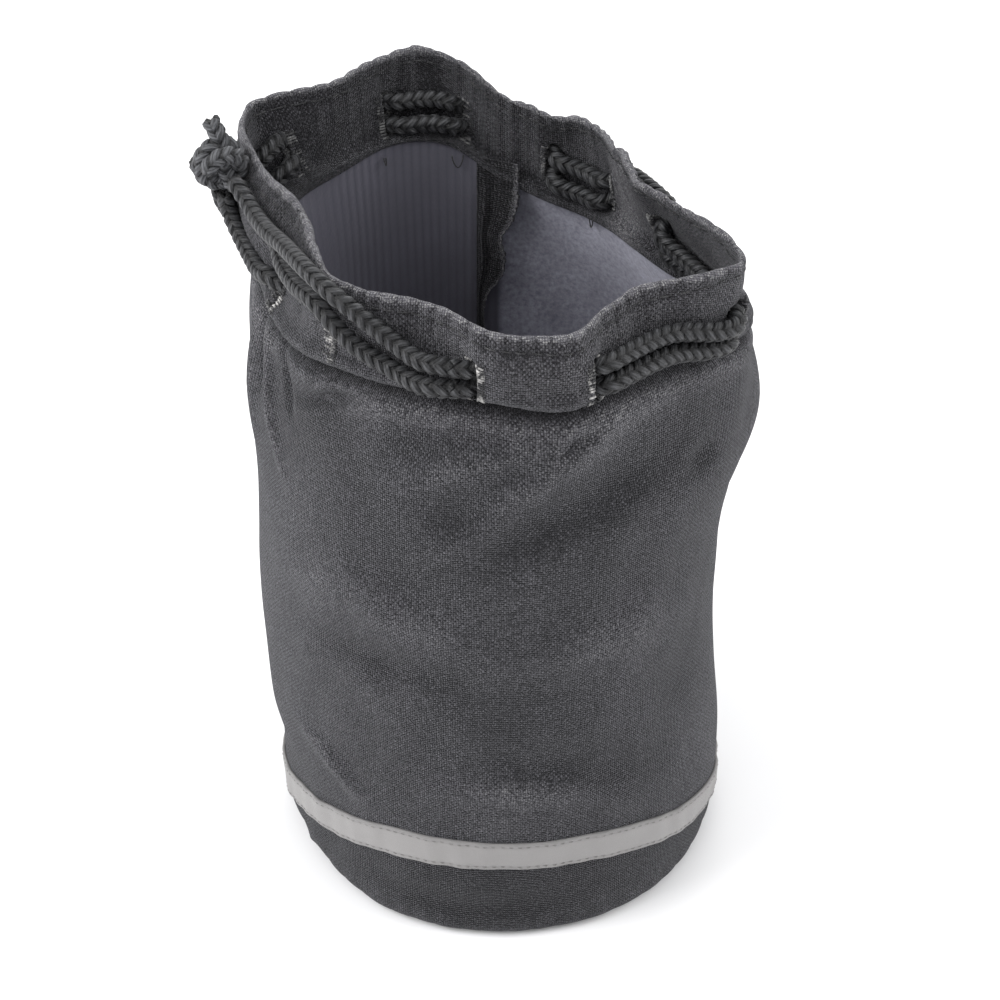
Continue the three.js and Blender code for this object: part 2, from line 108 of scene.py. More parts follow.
RIM_HEIGHT_SHARES = [0.98, 0.972, 0.98, 0.99, 1.005, 1.015, 1.02, 1.02, 1.02, 1.012, 1.006, 1.006,
                     1.02, 1.06, 1.062, 1.05, 1.038, 1.02, 1.006, 1.0, 1.0, 1.0, 0.994, 0.988]
FOOT_ROUNDING_SHARES = [0.07, 0.07, 0.1, 0.14, 0.12, 0.1, 0.1, 0.1, 0.12, 0.16, 0.12, 0.08]
TAPE_HEIGHT_SHARES = [0.146, 0.136, 0.09, 0.046, 0.086, 0.13,
                      0.143, 0.13, 0.086, 0.046, 0.09, 0.137]

# The collar's slits: the cord changes sides at each of the first list.
SLIT_ANGLES = [-6, 22, 64, 106, 138, 164, 190, 210, 235, 246]
TUCKED_SLIT = 284
SPARE_SLIT = 312
SLIT_SHARE = 0.3
CROSSING = 8.5 * MM


def smooth(x):
    """0 to 1, easing in and out, as x goes from 0 to 1."""
    x = np.clip(x, 0, 1)
    return x * x * (3 - 2 * x)


def mix(a, b, t):
    return a + (b - a) * t


def bell(x, width):
    """1 where x is 0, and fading to nothing at about twice the width."""
    return np.exp(-(x / width) ** 2)


def bells(x, *bumps):
    """Bells along x, added up: each has a height, a place and a width, the last two in
    millimetres."""
    return sum(height * bell(x - at * MM, width * MM) for height, at, width in bumps)


def unit(vectors):
    return vectors / np.linalg.norm(vectors, axis=-1, keepdims=True)


def run_along(path):
    """How far each point is along a path, or along each column of a grid of points."""
    steps = np.linalg.norm(np.diff(path, axis=0), axis=-1)
    return np.concatenate([0 * steps[:1], np.cumsum(steps, axis=0)])


def turned_angles(count):
    return np.arange(count) * TURN / count


def between(a, b, c, d, t):
    """A Catmull-Rom curve from b to c, where a is before them and d after."""
    return b + t / 2 * (c - a + t * (2 * a - 5 * b + 4 * c - d + t * (3 * (b - c) + d - a)))


def around(shares, angle):
    """Value of a closed table at an angle, on a smooth curve between its entries."""
    shares = np.asarray(shares, float)
    n = len(shares)
    t = (np.asarray(angle, float) % TURN) * n / TURN
    i = np.floor(t).astype(int)
    return between(*(shares[(i + k) % n] for k in (-1, 0, 1, 2)), t - i)


def through(xs, ys, x):
    """Cubic curve through the points (xs, ys), level past its ends."""
    last = len(xs) - 1
    near = [(max(0, i - 1), min(last, i + 1)) for i in range(last + 1)]
    slopes = [(ys[high] - ys[low]) / (xs[high] - xs[low]) for low, high in near]
    value = np.where(x <= xs[0], ys[0], ys[-1])
    for i in range(last):
        step = xs[i + 1] - xs[i]
        t = (x - xs[i]) / step
        rise = ys[i] * (1 + 2 * t) * (1 - t) ** 2 + ys[i + 1] * t * t * (3 - 2 * t)
        curve = rise + step * t * (1 - t) * ((1 - t) * slopes[i] - t * slopes[i + 1])
        value = np.where((x > xs[i]) & (x <= xs[i + 1]), curve, value)
    return value


def seam_z(angle):
    return SEAM_HEIGHT * around(SEAM_HEIGHT_SHARES, angle)


def rim_z(angle):
    return RIM_HEIGHT * around(RIM_HEIGHT_SHARES, angle)


def foot_rounding(angle):
    return BODY_RADIUS * around(FOOT_ROUNDING_SHARES, angle)


def body_radius(angle, z):
    radii = [BODY_RADIUS * around(shares, angle) for shares in LEVEL_RADIUS_SHARES]
    corner = foot_rounding(angle)
    drop = np.clip(1 - z / corner, 0, 1)
    level = through(LEVEL_SHARES, radii, z / seam_z(angle))
    return level - corner * (1 - np.sqrt(1 - drop * drop))


def place(angle, radius, z):
    """Points at an angle and a radius round the pouch's axis, and at a height."""
    turned = np.radians(angle)
    x = AXIS_X + radius * np.sin(turned)
    y = AXIS_Y - radius * np.cos(turned)
    return np.stack(np.broadcast_arrays(x, y, z), -1)


def degrees_along(length):
    return np.degrees(length / BODY_RADIUS)


def away_from(angle, place_angle):
    """Distance round the pouch from a place on it, towards the right."""
    return np.radians((angle - place_angle + TURN / 2) % TURN - TURN / 2) * BODY_RADIUS


HALF_CROSSING = degrees_along(CROSSING / 2)


def side_of_cord(angle, width=HALF_CROSSING):
    """1 where the cord lies outside the collar, -1 where it lies inside, 0 in a slit."""
    angle = np.asarray(angle, float) % TURN
    wrapped = np.where(angle > SLIT_ANGLES[-1] + HALF_CROSSING, angle - TURN, angle)
    side = np.ones_like(wrapped)
    for i, slit in enumerate(SLIT_ANGLES):
        step = 2 * smooth((wrapped - slit + width) / (2 * width))
        side = side - step if i % 2 == 0 else side + step
    return side


# The collar: share 0 is at the seam, 1 at the rim
def collar_bottom(angle):
    return seam_z(angle) + GAP


def collar_z(angle, share):
    return mix(collar_bottom(angle), rim_z(angle), share)


def seam_radius(angle):
    return body_radius(angle, seam_z(angle))


def rim_radius(angle):
    return BODY_RADIUS * around(RIM_RADIUS_SHARES, angle)


def collar_radius(angle, share, side=None):
    side = side_of_cord(angle) if side is None else side
    flat = mix(seam_radius(angle), rim_radius(angle), share)
    return flat + (COLLAR_PUFF - COLLAR_WAVE * side) * np.sin(math.pi * np.clip(share, 0, 1))


def collar_depth(share):
    return mix(COLLAR_THICKNESS, WALL, (1 - np.clip(share, 0, 1)) ** 6)


def collar_rise(angle):
    return rim_z(angle) - collar_bottom(angle)


def collar_lean(angle):
    return rim_radius(angle) - seam_radius(angle)


def collar_width(angle):
    return np.hypot(collar_rise(angle), collar_lean(angle))


def cord_at(angle, side, lift):
    """Where a strand lies: lift is along the collar from the slits' middle, side is across it."""
    share = SLIT_SHARE + lift / collar_width(angle)
    depth = collar_depth(share)
    thickest = collar_depth(share - CORD_DIAMETER / 2 / collar_width(angle))
    half = np.where(side < 0, thickest - depth / 2, depth / 2)
    reach = side * (half + CORD_CLEARANCE + CORD_DIAMETER / 2)
    middle = collar_radius(angle, share) - depth / 2
    radius = middle + reach * collar_rise(angle) / collar_width(angle)
    z = collar_z(angle, share) - reach * collar_lean(angle) / collar_width(angle)
    return place(angle, radius, z)


# Materials
WEAVE_PITCH = 0.52 * MM
RIB_PITCH = 1.9 * MM
TAPE_PITCH = 0.24 * MM
# The sockets of a mix node of numbers and of one of colours: factor, from, to, and result
NUMBER_SOCKETS = (0, 2, 3, 0)
COLOR_SOCKETS = (0, 6, 7, 2)


class Signal:
    """A node's output. Sums, products and powers of signals make math nodes."""

    def __init__(self, finish, socket):
        self.finish = finish
        self.socket = socket

    def __add__(self, other):
        return self.finish.math("ADD", self, other)

    def __mul__(self, other):
        return self.finish.math("MULTIPLY", self, other)

    def __pow__(self, other):
        return self.finish.math("POWER", self, other)


class Finish:
    """One material's node tree. Its calls add nodes, and most return a signal."""

    def __init__(self, name):
        self.material = bpy.data.materials.new(name)
        self.material.use_nodes = True
        self.tree = self.material.node_tree
        self.tree.nodes.clear()

    def node(self, kind, inputs, **settings):
        node = self.tree.nodes.new("ShaderNode" + kind)
        for key, value in settings.items():
            setattr(node, key, value)
        for key, value in inputs.items():
            socket = node.inputs[key]
            if isinstance(value, Signal):
                self.tree.links.new(value.socket, socket)
            else:
                socket.default_value = (*value, 1) if socket.type == "RGBA" else value
        return node

    def signal(self, kind, inputs, output=0, **settings):
        return Signal(self, self.node(kind, inputs, **settings).outputs[output])

    def math(self, operation, *values):
        return self.signal("Math", dict(enumerate(values)), operation=operation)

    def tone(self, factor, low, high):
        """A number from low to high as factor goes from 0 to 1."""
        return self.signal("MapRange", {"Value": factor, "To Min": low, "To Max": high})

    def range(self, value, low, high):
        """0 to 1 as value goes from low to high."""
        return self.signal("MapRange", {"Value": value, "From Min": low, "From Max": high})

    def arches(self, value):
        """0 at each whole value, and 1 half way between them."""
        return self.math("ABSOLUTE", self.math("SINE", value * math.pi))

    def mixed(self, factor, a, b, sockets=NUMBER_SOCKETS, **settings):
        return self.signal("Mix", dict(zip(sockets, (factor, a, b))), sockets[-1], **settings)

    def color(self, factor, a, b):
        return self.mixed(factor, a, b, COLOR_SOCKETS, data_type="RGBA")

    def value(self, name):
        return self.signal("Attribute", {}, "Fac", attribute_name=name)

    def cloth(self, pitch):
        """Across and along the cloth, in threads of that pitch."""
        uv = self.signal("UVMap", {}, uv_map="cloth")
        threads = self.signal("VectorMath", {0: uv, 1: (1 / pitch, 1 / pitch, 0)},
                              operation="MULTIPLY")
        return [self.signal("SeparateXYZ", {0: threads}, axis) for axis in (0, 1)]

    def vector(self, x, y, z=0):
        return self.signal("CombineXYZ", {0: x, 1: y, 2: z})

    def place(self):
        return self.signal("TexCoord", {}, "Object")

    def noise(self, vector, scale, detail=3, roughness=0.6):
        return self.signal("TexNoise", {"Vector": vector, "Scale": scale, "Detail": detail,
                                        "Roughness": roughness})

    def patches(self, scale, low, high, detail=4, roughness=0.6):
        """Soft patches of that scale, from 0 to 1."""
        return self.range(self.noise(self.place(), scale, detail, roughness), low, high)

    def surface(self, **sockets):
        """Joins a surface shader with those inputs to the material."""
        inputs = {key.replace("_", " "): value for key, value in sockets.items()}
        self.node("OutputMaterial", {"Surface": self.signal("BsdfPrincipled", inputs)})
        return self.material

    def bumpy(self, height, depth, **sockets):
        """A surface with a bump of that depth."""
        bump = self.signal("Bump", {"Height": height, "Distance": depth, "Strength": 1})
        return self.surface(Normal=bump, **sockets)


def weave(f, u, v):
    """Plain weave: its height, the tone of the thread on top, a number for each crossing, and
    whether the warp is on top there."""
    across, along = f.arches(u), f.arches(v)
    column, row = f.math("FLOOR", u), f.math("FLOOR", v)
    top = f.math("FLOORED_MODULO", column + row, 2)
    height = f.mixed(top, across ** 0.4 * along ** 0.9, across ** 0.9 * along ** 0.4)
    warp_tone = f.noise(f.vector(column * 7.31, v * 0.11), 1)
    weft_tone = f.noise(f.vector(u * 0.11, row * 5.77, 9), 1)
    fleck = f.signal("TexWhiteNoise", {"Vector": f.vector(column, row)}, noise_dimensions="2D")
    return height, f.mixed(top, weft_tone, warp_tone), fleck, top


def shaded(color, shade):
    return tuple(c * shade for c in color)


def canvas_finish(name, shade=1):
    """Washed canvas: dark threads, paler where the value wear_and_painted_light is high, which is
    wear and, where the meshes set it, painted light and shade.
    """
    f = Finish(name)
    u, v = f.cloth(WEAVE_PITCH)
    u = u + f.noise(f.place(), 300, 2)
    v = v + f.noise(f.place(), 270, 2)
    height, thread, fleck, top = weave(f, u, v)
    grain = f.patches(1900, 0.34, 0.66, 2)
    blotch = f.patches(240, 0.32, 0.68)
    cloud = f.patches(36, 0.3, 0.7, roughness=0.62)
    wear_and_painted_light = f.value("wear_and_painted_light") + f.tone(cloud, -0.09, 0.11) + f.tone(blotch, -0.07, 0.07)
    dark = shaded((0.01, 0.01, 0.012), shade)
    pale = shaded((0.142, 0.139, 0.155), shade)
    bright = shaded((0.42, 0.415, 0.41), shade)
    amount = (f.tone(thread, -0.3, 0.46) + f.tone(grain, -0.34, 0.44)
              + f.tone(fleck, -0.14, 0.18) + f.tone(top, -0.15, 0.17) + wear_and_painted_light * 0.95)
    # Darker where the weave lies low, as painted shade between the threads.
    amount = f.math("MAXIMUM", amount, 0) * f.tone(height, 0.16, 1.12)
    base = f.color(f.math("MINIMUM", amount, 1), dark, pale)
    sparkle = f.range(grain, 0.55, 0.9) * f.range(wear_and_painted_light, 0.1, 0.9)
    return f.bumpy(height + grain * 0.7, 0.3 * MM, Base_Color=f.color(sparkle * height, base, bright),
                   Roughness=0.86, Sheen_Weight=0.26, Sheen_Roughness=0.3,
                   Sheen_Tint=(0.85, 0.85, 0.9), Specular_IOR_Level=0.25)


def lining_finish():
    """Brushed lining: ribbed on one panel, with painted shade in the ribs' hollows, and napped where
    the value napped is high; the napped panel is also drawn paler as painted light.
    """
    f = Finish("lining")
    u, v = f.cloth(RIB_PITCH)
    nap = f.noise(f.place(), 900, 4, 0.7)
    fine = f.noise(f.vector(u * 6, v * 0.8), 2.2)
    # The ribbed cloth is darker in the ribs' hollows, as painted shade.
    ribbed = f.color(f.arches(u) * f.tone(fine, 0.7, 1), (0.076, 0.074, 0.094),
                     (0.112, 0.109, 0.137))
    # The napped cloth is its own paler cloth, and is drawn paler still as painted light falling on
    # the right panel.
    fuzzy_and_painted_light = f.color(f.range(nap, 0.3, 0.7), (0.215, 0.215, 0.265), (0.49, 0.49, 0.575))
    base = f.color(f.value("napped"), ribbed, fuzzy_and_painted_light)
    base = f.color(f.tone(f.patches(60, 0.3, 0.7), 0, 0.5), base, (0.062, 0.061, 0.075))
    return f.bumpy(nap + fine * 0.5, 0.14 * MM, Base_Color=base, Roughness=0.95, Sheen_Weight=0.5,
                   Sheen_Roughness=0.6, Sheen_Tint=(0.75, 0.75, 0.85), Specular_IOR_Level=0.2)


def tape_finish():
    """Grey satin tape with fine ribs across it, darker at its edges and along its stitch grooves as
    painted shade.
    """
    f = Finish("tape")
    height, thread = weave(f, *f.cloth(TAPE_PITCH))[:2]
    base = f.color(f.tone(thread, 0.1, 0.9), (0.242, 0.234, 0.232), (0.302, 0.294, 0.291))
    base = f.color(f.tone(f.patches(70, 0.3, 0.7), 0, 0.4), base, (0.22, 0.212, 0.211))
    # Painted shade at the tape's edges and along its stitch grooves.
    base = f.color(f.value("wear_and_painted_light") * 0.6, base, (0.14, 0.137, 0.138))
    return f.bumpy(height, 0.05 * MM, Base_Color=base, Roughness=0.5, Sheen_Weight=0.12,
                   Specular_IOR_Level=0.42, Anisotropic=0.5)


def cord_finish(name, shade=1):
    """Braiding yarn: three plies of fine filaments, with a painted highlight on the crests of the
    higher yarns and painted shade, nearly black, between them, set by the value raised.
    """
    f = Finish(name)
    u, v = f.cloth(1)
    strand = f.range(f.noise(f.vector(u * 700, v * 11), 1, 2), 0.35, 0.65)
    ply = f.arches(v * 6 + u * (500 / math.pi))
    raised = f.value("raised")
    dust_and_painted_sheen = f.patches(520, 0.45, 0.72, roughness=0.65)
    crest = f.tone(ply, 0.25, 1) * f.tone(strand, 0.35, 1)
    # Painted highlight and shade: the plies' crests on the higher yarns get the pale colour, and the
    # rest is nearly black.
    pale = shaded((0.084, 0.086, 0.093), shade)
    base = f.color(crest * raised ** 5.5, (0.002, 0.002, 0.0025), pale)
    # Paler patches on the higher yarns: dust, and a painted sheen on their crests.
    base = f.color(dust_and_painted_sheen * raised * 0.22, base, (0.13, 0.13, 0.135))
    return f.bumpy(crest, 0.22 * MM, Base_Color=base, Roughness=0.46, Sheen_Weight=0.05,
                   Sheen_Roughness=0.4, Specular_IOR_Level=0.3)


def thread_finish(name, dark, light):
    """Sewing thread, lighter in patches."""
    f = Finish(name)
    u, v = f.cloth(1)
    twist = f.math("SINE", u * 9000 + v * 6.28)
    return f.bumpy(twist, 0.06 * MM, Base_Color=f.color(f.patches(420, 0.47, 0.64, 3), dark, light),
                   Roughness=0.8, Sheen_Weight=0.2, Specular_IOR_Level=0.3)


def foam_finish():
    f = Finish("foam")
    cells = f.signal("TexVoronoi", {"Vector": f.place(), "Scale": 1400})
    base = f.color(cells, (0.3, 0.3, 0.29), (0.2, 0.2, 0.19))
    return f.bumpy(cells, 0.2 * MM, Base_Color=base, Roughness=0.95)


canvas_cloth = canvas_finish("canvas")
facing_cloth = canvas_finish("canvas_facing", 0.6)
lining_cloth = lining_finish()
tape_cloth = tape_finish()
cord_yarn = cord_finish("cord")
# The knot's yarn is a paler copy of the cord's, as painted light against the shade the knot casts on
# itself.
knot_yarn_painted_lighter = cord_finish("cord_knot_painted_lighter", 1.85)
pale_thread = thread_finish("pale_thread", (0.02, 0.02, 0.022), (0.5, 0.49, 0.48))
tape_thread = thread_finish("tape_thread", (0.17, 0.165, 0.163), (0.26, 0.25, 0.247))
faded_thread = thread_finish("faded_thread", (0.012, 0.012, 0.014), (0.16, 0.16, 0.16))
dark_thread = thread_finish("dark_thread", (0.02, 0.02, 0.022), (0.06, 0.06, 0.062))
foam_sheet = foam_finish()


# Meshes
PLATE_COLUMNS = 180
PLATE_RINGS = 39
TUBE_SIDES = 6


def grid(rows, columns, closed=False):
    """Faces of a grid of points whose rows are rings, and the row and column of each corner,
    before they wrap. A closed grid's last row joins its first."""
    r, c = np.indices((rows if closed else rows - 1, columns)).reshape(2, -1)
    row = np.stack([r, r, r + 1, r + 1], 1)
    column = np.stack([c, c + 1, c + 1, c], 1)
    return (row % rows) * columns + column % columns, row, column


def end_caps(rows, columns, first=0):
    """The two faces that close a tube's grid of points, numbered from the first."""
    low = [first + k for k in range(columns)]
    return [low[::-1], [(rows - 1) * columns + k for k in low]]


def outward(points, faces):
    """Whether the faces of a closed mesh point out."""
    volume = 0.0
    for face in (faces[:, [0, 1, 2]], faces[:, [0, 2, 3]]):
        a, b, c = (points[face[:, k]] for k in range(3))
        volume += float((a * np.cross(b, c)).sum())
    return volume >= 0


def make(name, points, faces, material, uv, values=None, caps=(), *, slot, stands_for=(),
         body="pouch"):
    """A smooth mesh that rides on a body. Body None leaves it free, for a blend. Values are
    one for each point, or one for all."""
    points = np.asarray(points, float).reshape(-1, 3)
    if not outward(points, faces):
        faces = faces[:, ::-1]
        uv = uv[:, ::-1]
        caps = [cap[::-1] for cap in caps]
    mesh = bpy.data.meshes.new(name)
    mesh.from_pydata(points.tolist(), [], faces.tolist() + [list(c) for c in caps])
    corners = np.zeros(2 * len(mesh.loops))
    corners[:uv.size] = uv.ravel()
    mesh.uv_layers.new(name="cloth").data.foreach_set("uv", corners)
    for key, value in (values or {}).items():
        value = np.broadcast_to(np.ravel(value), len(points))
        mesh.attributes.new(key, "FLOAT", "POINT").data.foreach_set("value", value)
    mesh.polygons.foreach_set("use_smooth", [True] * len(mesh.polygons))
    mesh.materials.append(material)
    piece = bpy.data.objects.new(name, mesh)
    bpy.context.scene.collection.objects.link(piece)
    if body:
        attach(piece, body)
    if stands_for:
        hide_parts(*stands_for)
    return piece


def cloth_uv(points, row, column, measured):
    """Lengths across and down the cloth at the corners of a ring's faces. The lengths across
    are taken along one row, the measured one, and down along each column."""
    down = run_along(np.concatenate([points, points[:1]]))
    across = run_along(np.concatenate([points[measured], points[measured, :1]]))
    return np.stack([across[column], down[row, column % points.shape[1]]], -1)


def wall(name, angles, radius, z, material, values=None, **facts):
    """A wall that runs all the way round, from closed sections: arrays of rows by columns."""
    points = place(angles, radius, z)
    rows, columns = points.shape[:2]
    faces, row, column = grid(rows, columns, True)
    uv = cloth_uv(points, row, column, rows // 4)
    return make(name, points, faces, material, uv, values, **facts)


def plate(name, level, inset, low, high, material, values=None, relief=None, **facts):
    """A round plate between two heights. Its outline is the body's at a level, drawn in."""
    angles = turned_angles(PLATE_COLUMNS)
    shares = np.linspace(0, 1, PLATE_RINGS + 1)[1:, None]
    outline = body_radius(angles, level) - inset
    top = place(angles, shares * outline, high)
    bottom = place(angles, shares[::-1] * outline, low)
    if relief is not None:
        top[..., 2] += relief(top[..., 0], top[..., 1])
    flat = np.concatenate([top, bottom]).reshape(-1, 3)
    faces = grid(2 * PLATE_RINGS, PLATE_COLUMNS)[0]
    caps = end_caps(2 * PLATE_RINGS, PLATE_COLUMNS)
    return make(name, flat, faces, material, flat[faces][..., :2], values, caps, **facts)


# How raised a tube counts as, where nothing is given, and how much more along its crown: this sets
# the painted highlight and shade of the cord's yarns
RAISED = 0.8
RAISED_CROWN = 0.26


class Tubes:
    """Collects tubes that follow paths, for one mesh."""

    def __init__(self):
        self.points, self.faces, self.caps, self.uv, self.raised = [], [], [], [], []
        self.count = 0

    def add(self, path, normals, half_width, half_height, raised=None):
        along = unit(np.gradient(path, axis=0))
        normals = unit(normals - (normals * along).sum(1, keepdims=True) * along)
        sideways = np.cross(along, normals)
        turned = 2 * math.pi * (np.arange(TUBE_SIDES) + 0.5) / TUBE_SIDES
        out, aside = np.cos(turned)[:, None], np.sin(turned)[:, None]
        points = (path[:, None] + normals[:, None] * out * half_height
                  + sideways[:, None] * aside * half_width)
        faces, row, column = grid(len(path), TUBE_SIDES)
        self.uv.append(np.stack([run_along(path)[row], column / TUBE_SIDES], -1))
        self.faces.append(faces + self.count)
        self.caps += end_caps(len(path), TUBE_SIDES, self.count)
        height = RAISED if raised is None else raised[:, None]
        height = np.broadcast_to(height + RAISED_CROWN * out[:, 0], points.shape[:2])
        self.raised.append(height.ravel())
        self.points.append(points.reshape(-1, 3))
        self.count += len(path) * TUBE_SIDES

    def make(self, name, material, **facts):
        points, faces, uv, raised = (np.concatenate(x) for x in (self.points, self.faces, self.uv,
                                                                 self.raised))
        values = {"raised": np.clip(raised, 0, 1)}
        return make(name, points, faces, material, uv, values, self.caps, **facts)


# Paths
CURVE_STEPS = 24
SOFTENING_ROUNDS = 6


def resample(points, step):
    """Points a step apart on a smooth curve through the given ones."""
    points = np.asarray(points, float)
    ends = np.concatenate([[2 * points[0] - points[1]], points, [2 * points[-1] - points[-2]]])
    t = np.linspace(0, 1, CURVE_STEPS, endpoint=False)[:, None]
    fine = [between(*four, t) for four in zip(ends, ends[1:], ends[2:], ends[3:])]
    fine = np.concatenate([*fine, points[-1:]])
    run = run_along(fine)
    at = np.linspace(0, run[-1], max(3, round(run[-1] / step) + 1))
    return np.stack([np.interp(at, run, fine[:, k]) for k in range(3)], 1)


def softened(path):
    """The path with its small kinks evened out and its ends kept."""
    for _ in range(SOFTENING_ROUNDS):
        path[1:-1] = path[1:-1] / 2 + (path[:-2] + path[2:]) / 4
    return path


def carried(path):
    """Two directions across the path at each point, carried along it without twist."""
    along = unit(np.gradient(path, axis=0))
    across = np.zeros_like(path)
    current = np.array([0, -1, 0.3])
    for i, t in enumerate(along):
        current = unit(current - current.dot(t) * t)
        across[i] = current
    return across, np.cross(along, across)


# The braided cord: four yarns each way, which pass over two and under two
YARNS = 4
BRAID_PITCH = 9.2 * MM
BRAID_CORE = 1.08 * MM
BRAID_WAVE = 0.3 * MM
YARN_WIDTH = 1.8 * MM
YARN_HEIGHT = 1.44 * MM
BRAID_STEP = 0.42 * MM
# How far the braid's yarns count as raised, and how much that changes where they cross: these set
# their painted highlight and shade
BRAID_CROWN = 0.42
CROSSING_CROWN = 0.36
WOVEN_STEP = 1.5


def braid(tubes, path, part=slice(None), crown=BRAID_CROWN):
    """Adds the braid's yarns along part of a path. crown is how far they count as raised, which sets
    their painted highlight; a yarn is painted paler where it crosses over and darker where it passes
    under.
    """
    across, out = carried(path)
    run = run_along(path)
    for way in (1, -1):
        for yarn in range(YARNS):
            turned = way * 2 * math.pi * run / BRAID_PITCH + 2 * math.pi * yarn / YARNS
            wave = way * np.sin(2 * turned)
            normals = across * np.cos(turned)[:, None] + out * np.sin(turned)[:, None]
            middle = path + normals * (BRAID_CORE + BRAID_WAVE * wave)[:, None]
            tubes.add(middle[part], normals[part], YARN_WIDTH / 2, YARN_HEIGHT / 2,
                      raised=crown + CROSSING_CROWN * wave[part])


# Routes of the free strands, from the knot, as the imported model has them
FRONT_ROUTES = {
    "upper": [
        (-0.0534, 0.0061, 0.1607), (-0.0503, 0.0023, 0.1577), (-0.0478, -0.0027, 0.1564),
        (-0.0451, -0.0094, 0.157), (-0.0417, -0.0166, 0.1582), (-0.0387, -0.0244, 0.1597),
        (-0.0353, -0.0317, 0.1604), (-0.0306, -0.0375, 0.159), (-0.0263, -0.0397, 0.1564),
        (-0.0224, -0.0409, 0.1534), (-0.0182, -0.0423, 0.1504), (-0.0142, -0.0448, 0.1486),
        (-0.011, -0.0464, 0.1485), (-0.00768, -0.04678, 0.14815)],
    "lower": [
        (-0.0519, 0.0093, 0.1583), (-0.0507, 0.0072, 0.1554), (-0.0486, 0.0028, 0.1532),
        (-0.046, -0.002, 0.1531), (-0.0438, -0.0073, 0.1533), (-0.0421, -0.0144, 0.1522),
        (-0.0389, -0.0237, 0.1529), (-0.0349, -0.0317, 0.1542), (-0.0311, -0.0355, 0.1514),
        (-0.0275, -0.0375, 0.1482), (-0.024, -0.0394, 0.1464), (-0.0207, -0.0409, 0.1451),
        (-0.0169, -0.0434, 0.1439), (-0.0142, -0.0457, 0.1436), (-0.0111, -0.0473, 0.1439),
        (-0.00772, -0.04705, 0.1436)],
}
BACK_ROUTES = {
    "upper": [(-0.05417, 0.01833, 0.1538), (-0.0546, 0.0168, 0.1538), (-0.055, 0.0159, 0.155),
              (-0.0554, 0.0154, 0.1567)],
    "lower": [(-0.0538, 0.01805, 0.14918), (-0.0546, 0.0167, 0.149), (-0.0557, 0.0148, 0.1496),
              (-0.0567, 0.0132, 0.152), (-0.0572, 0.0122, 0.1555)],
}
LEFT_ROUTE = [(-0.0558, 0.0086, 0.1562), (-0.0555, 0.0089, 0.1534), (-0.0545, 0.0085, 0.1504),
              (-0.0526, 0.0057, 0.1476), (-0.0502, 0.0005, 0.1459), (-0.0481, -0.0046, 0.1453)]
# How far round, in degrees, the left strand's hidden end runs on behind the slit
TUCKED_REACH = 6
KNOT_MIDDLE = np.array([-0.0569, 0.0114, 0.162])
TAIL_ROUTE = [(-0.0563, 0.0119, 0.1672), (-0.0572, 0.0122, 0.1692), (-0.0582, 0.0126, 0.1712)]
STRAND_LIFTS = {"upper": (CORD_DIAMETER + CORD_CLEARANCE) / 2,
                "lower": -(CORD_DIAMETER + CORD_CLEARANCE) / 2}

# The knot: two turns of cord side by side, with the tail coming up through them. Its core is
# in millimetres from its middle.
COIL_RADIUS = 4.0 * MM
COIL_PITCH = 4.0 * MM
COIL_TURNS = 1.9
COIL_START = math.radians(200)
COIL_AXIS = np.array([-0.38, 0.9, 0.17])
KNOT_CORE = [(3.4, -3.0, -4.2), (1.6, -0.8, -1.2), (1.5, 0.6, 2.6)]
# How far the knot's yarns count as raised, which sets their painted highlight
KNOT_CROWN = 0.62


def knot_paths():
    axis = unit(COIL_AXIS)
    a = unit(np.cross(axis, (0, 0, 1)))
    b = np.cross(axis, a)
    turns = np.linspace(0, COIL_TURNS, 60)
    angle = 2 * math.pi * turns + COIL_START
    coil = (KNOT_MIDDLE + axis * ((turns - COIL_TURNS / 2) * COIL_PITCH)[:, None]
            + COIL_RADIUS * (a * np.cos(angle)[:, None] + b * np.sin(angle)[:, None]))
    return coil, np.array([*(KNOT_MIDDLE + np.array(KNOT_CORE) * MM), *TAIL_ROUTE])


def make_knot():
    tubes = Tubes()
    for points in knot_paths():
        braid(tubes, resample(points, BRAID_STEP), crown=KNOT_CROWN)
    return tubes.make("knot", knot_yarn_painted_lighter, body="knot", slot="cord",
                      stands_for=("stopper_knot", "cord_tail"))


knot = make_knot()


def cord_piece(name, path, part, **facts):
    tubes = Tubes()
    braid(tubes, path, part)
    return tubes.make(name, cord_yarn, slot="cord", **facts)


def make_strands(level):
    """One strand: from the knot, woven through the collar, and back to the knot."""
    ends = SLIT_ANGLES[0] - HALF_CROSSING, SLIT_ANGLES[-1] + HALF_CROSSING
    angles = np.arange(*ends, WOVEN_STEP)
    woven = cord_at(angles, side_of_cord(angles), STRAND_LIFTS[level])
    front, back = FRONT_ROUTES[level], BACK_ROUTES[level]
    path = softened(resample([*front, *woven[1:-1], *back], BRAID_STEP))
    first, last = (int(np.linalg.norm(path - end, axis=1).argmin()) for end in (front[-1], back[0]))
    cord_piece(f"woven_cord_{level}", path, slice(first, last + 1),
               stands_for=[f"drawstring_{level}"])
    piece = cord_piece(f"strand_front_{level}", path, slice(first + 1), body=None,
                       stands_for=[f"draw_strand_front_{level}"])
    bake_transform(piece)
    piece = cord_piece(f"strand_back_{level}", path, slice(last, None), body=None,
                       stands_for=[f"draw_strand_back_{level}"])
    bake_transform(piece)


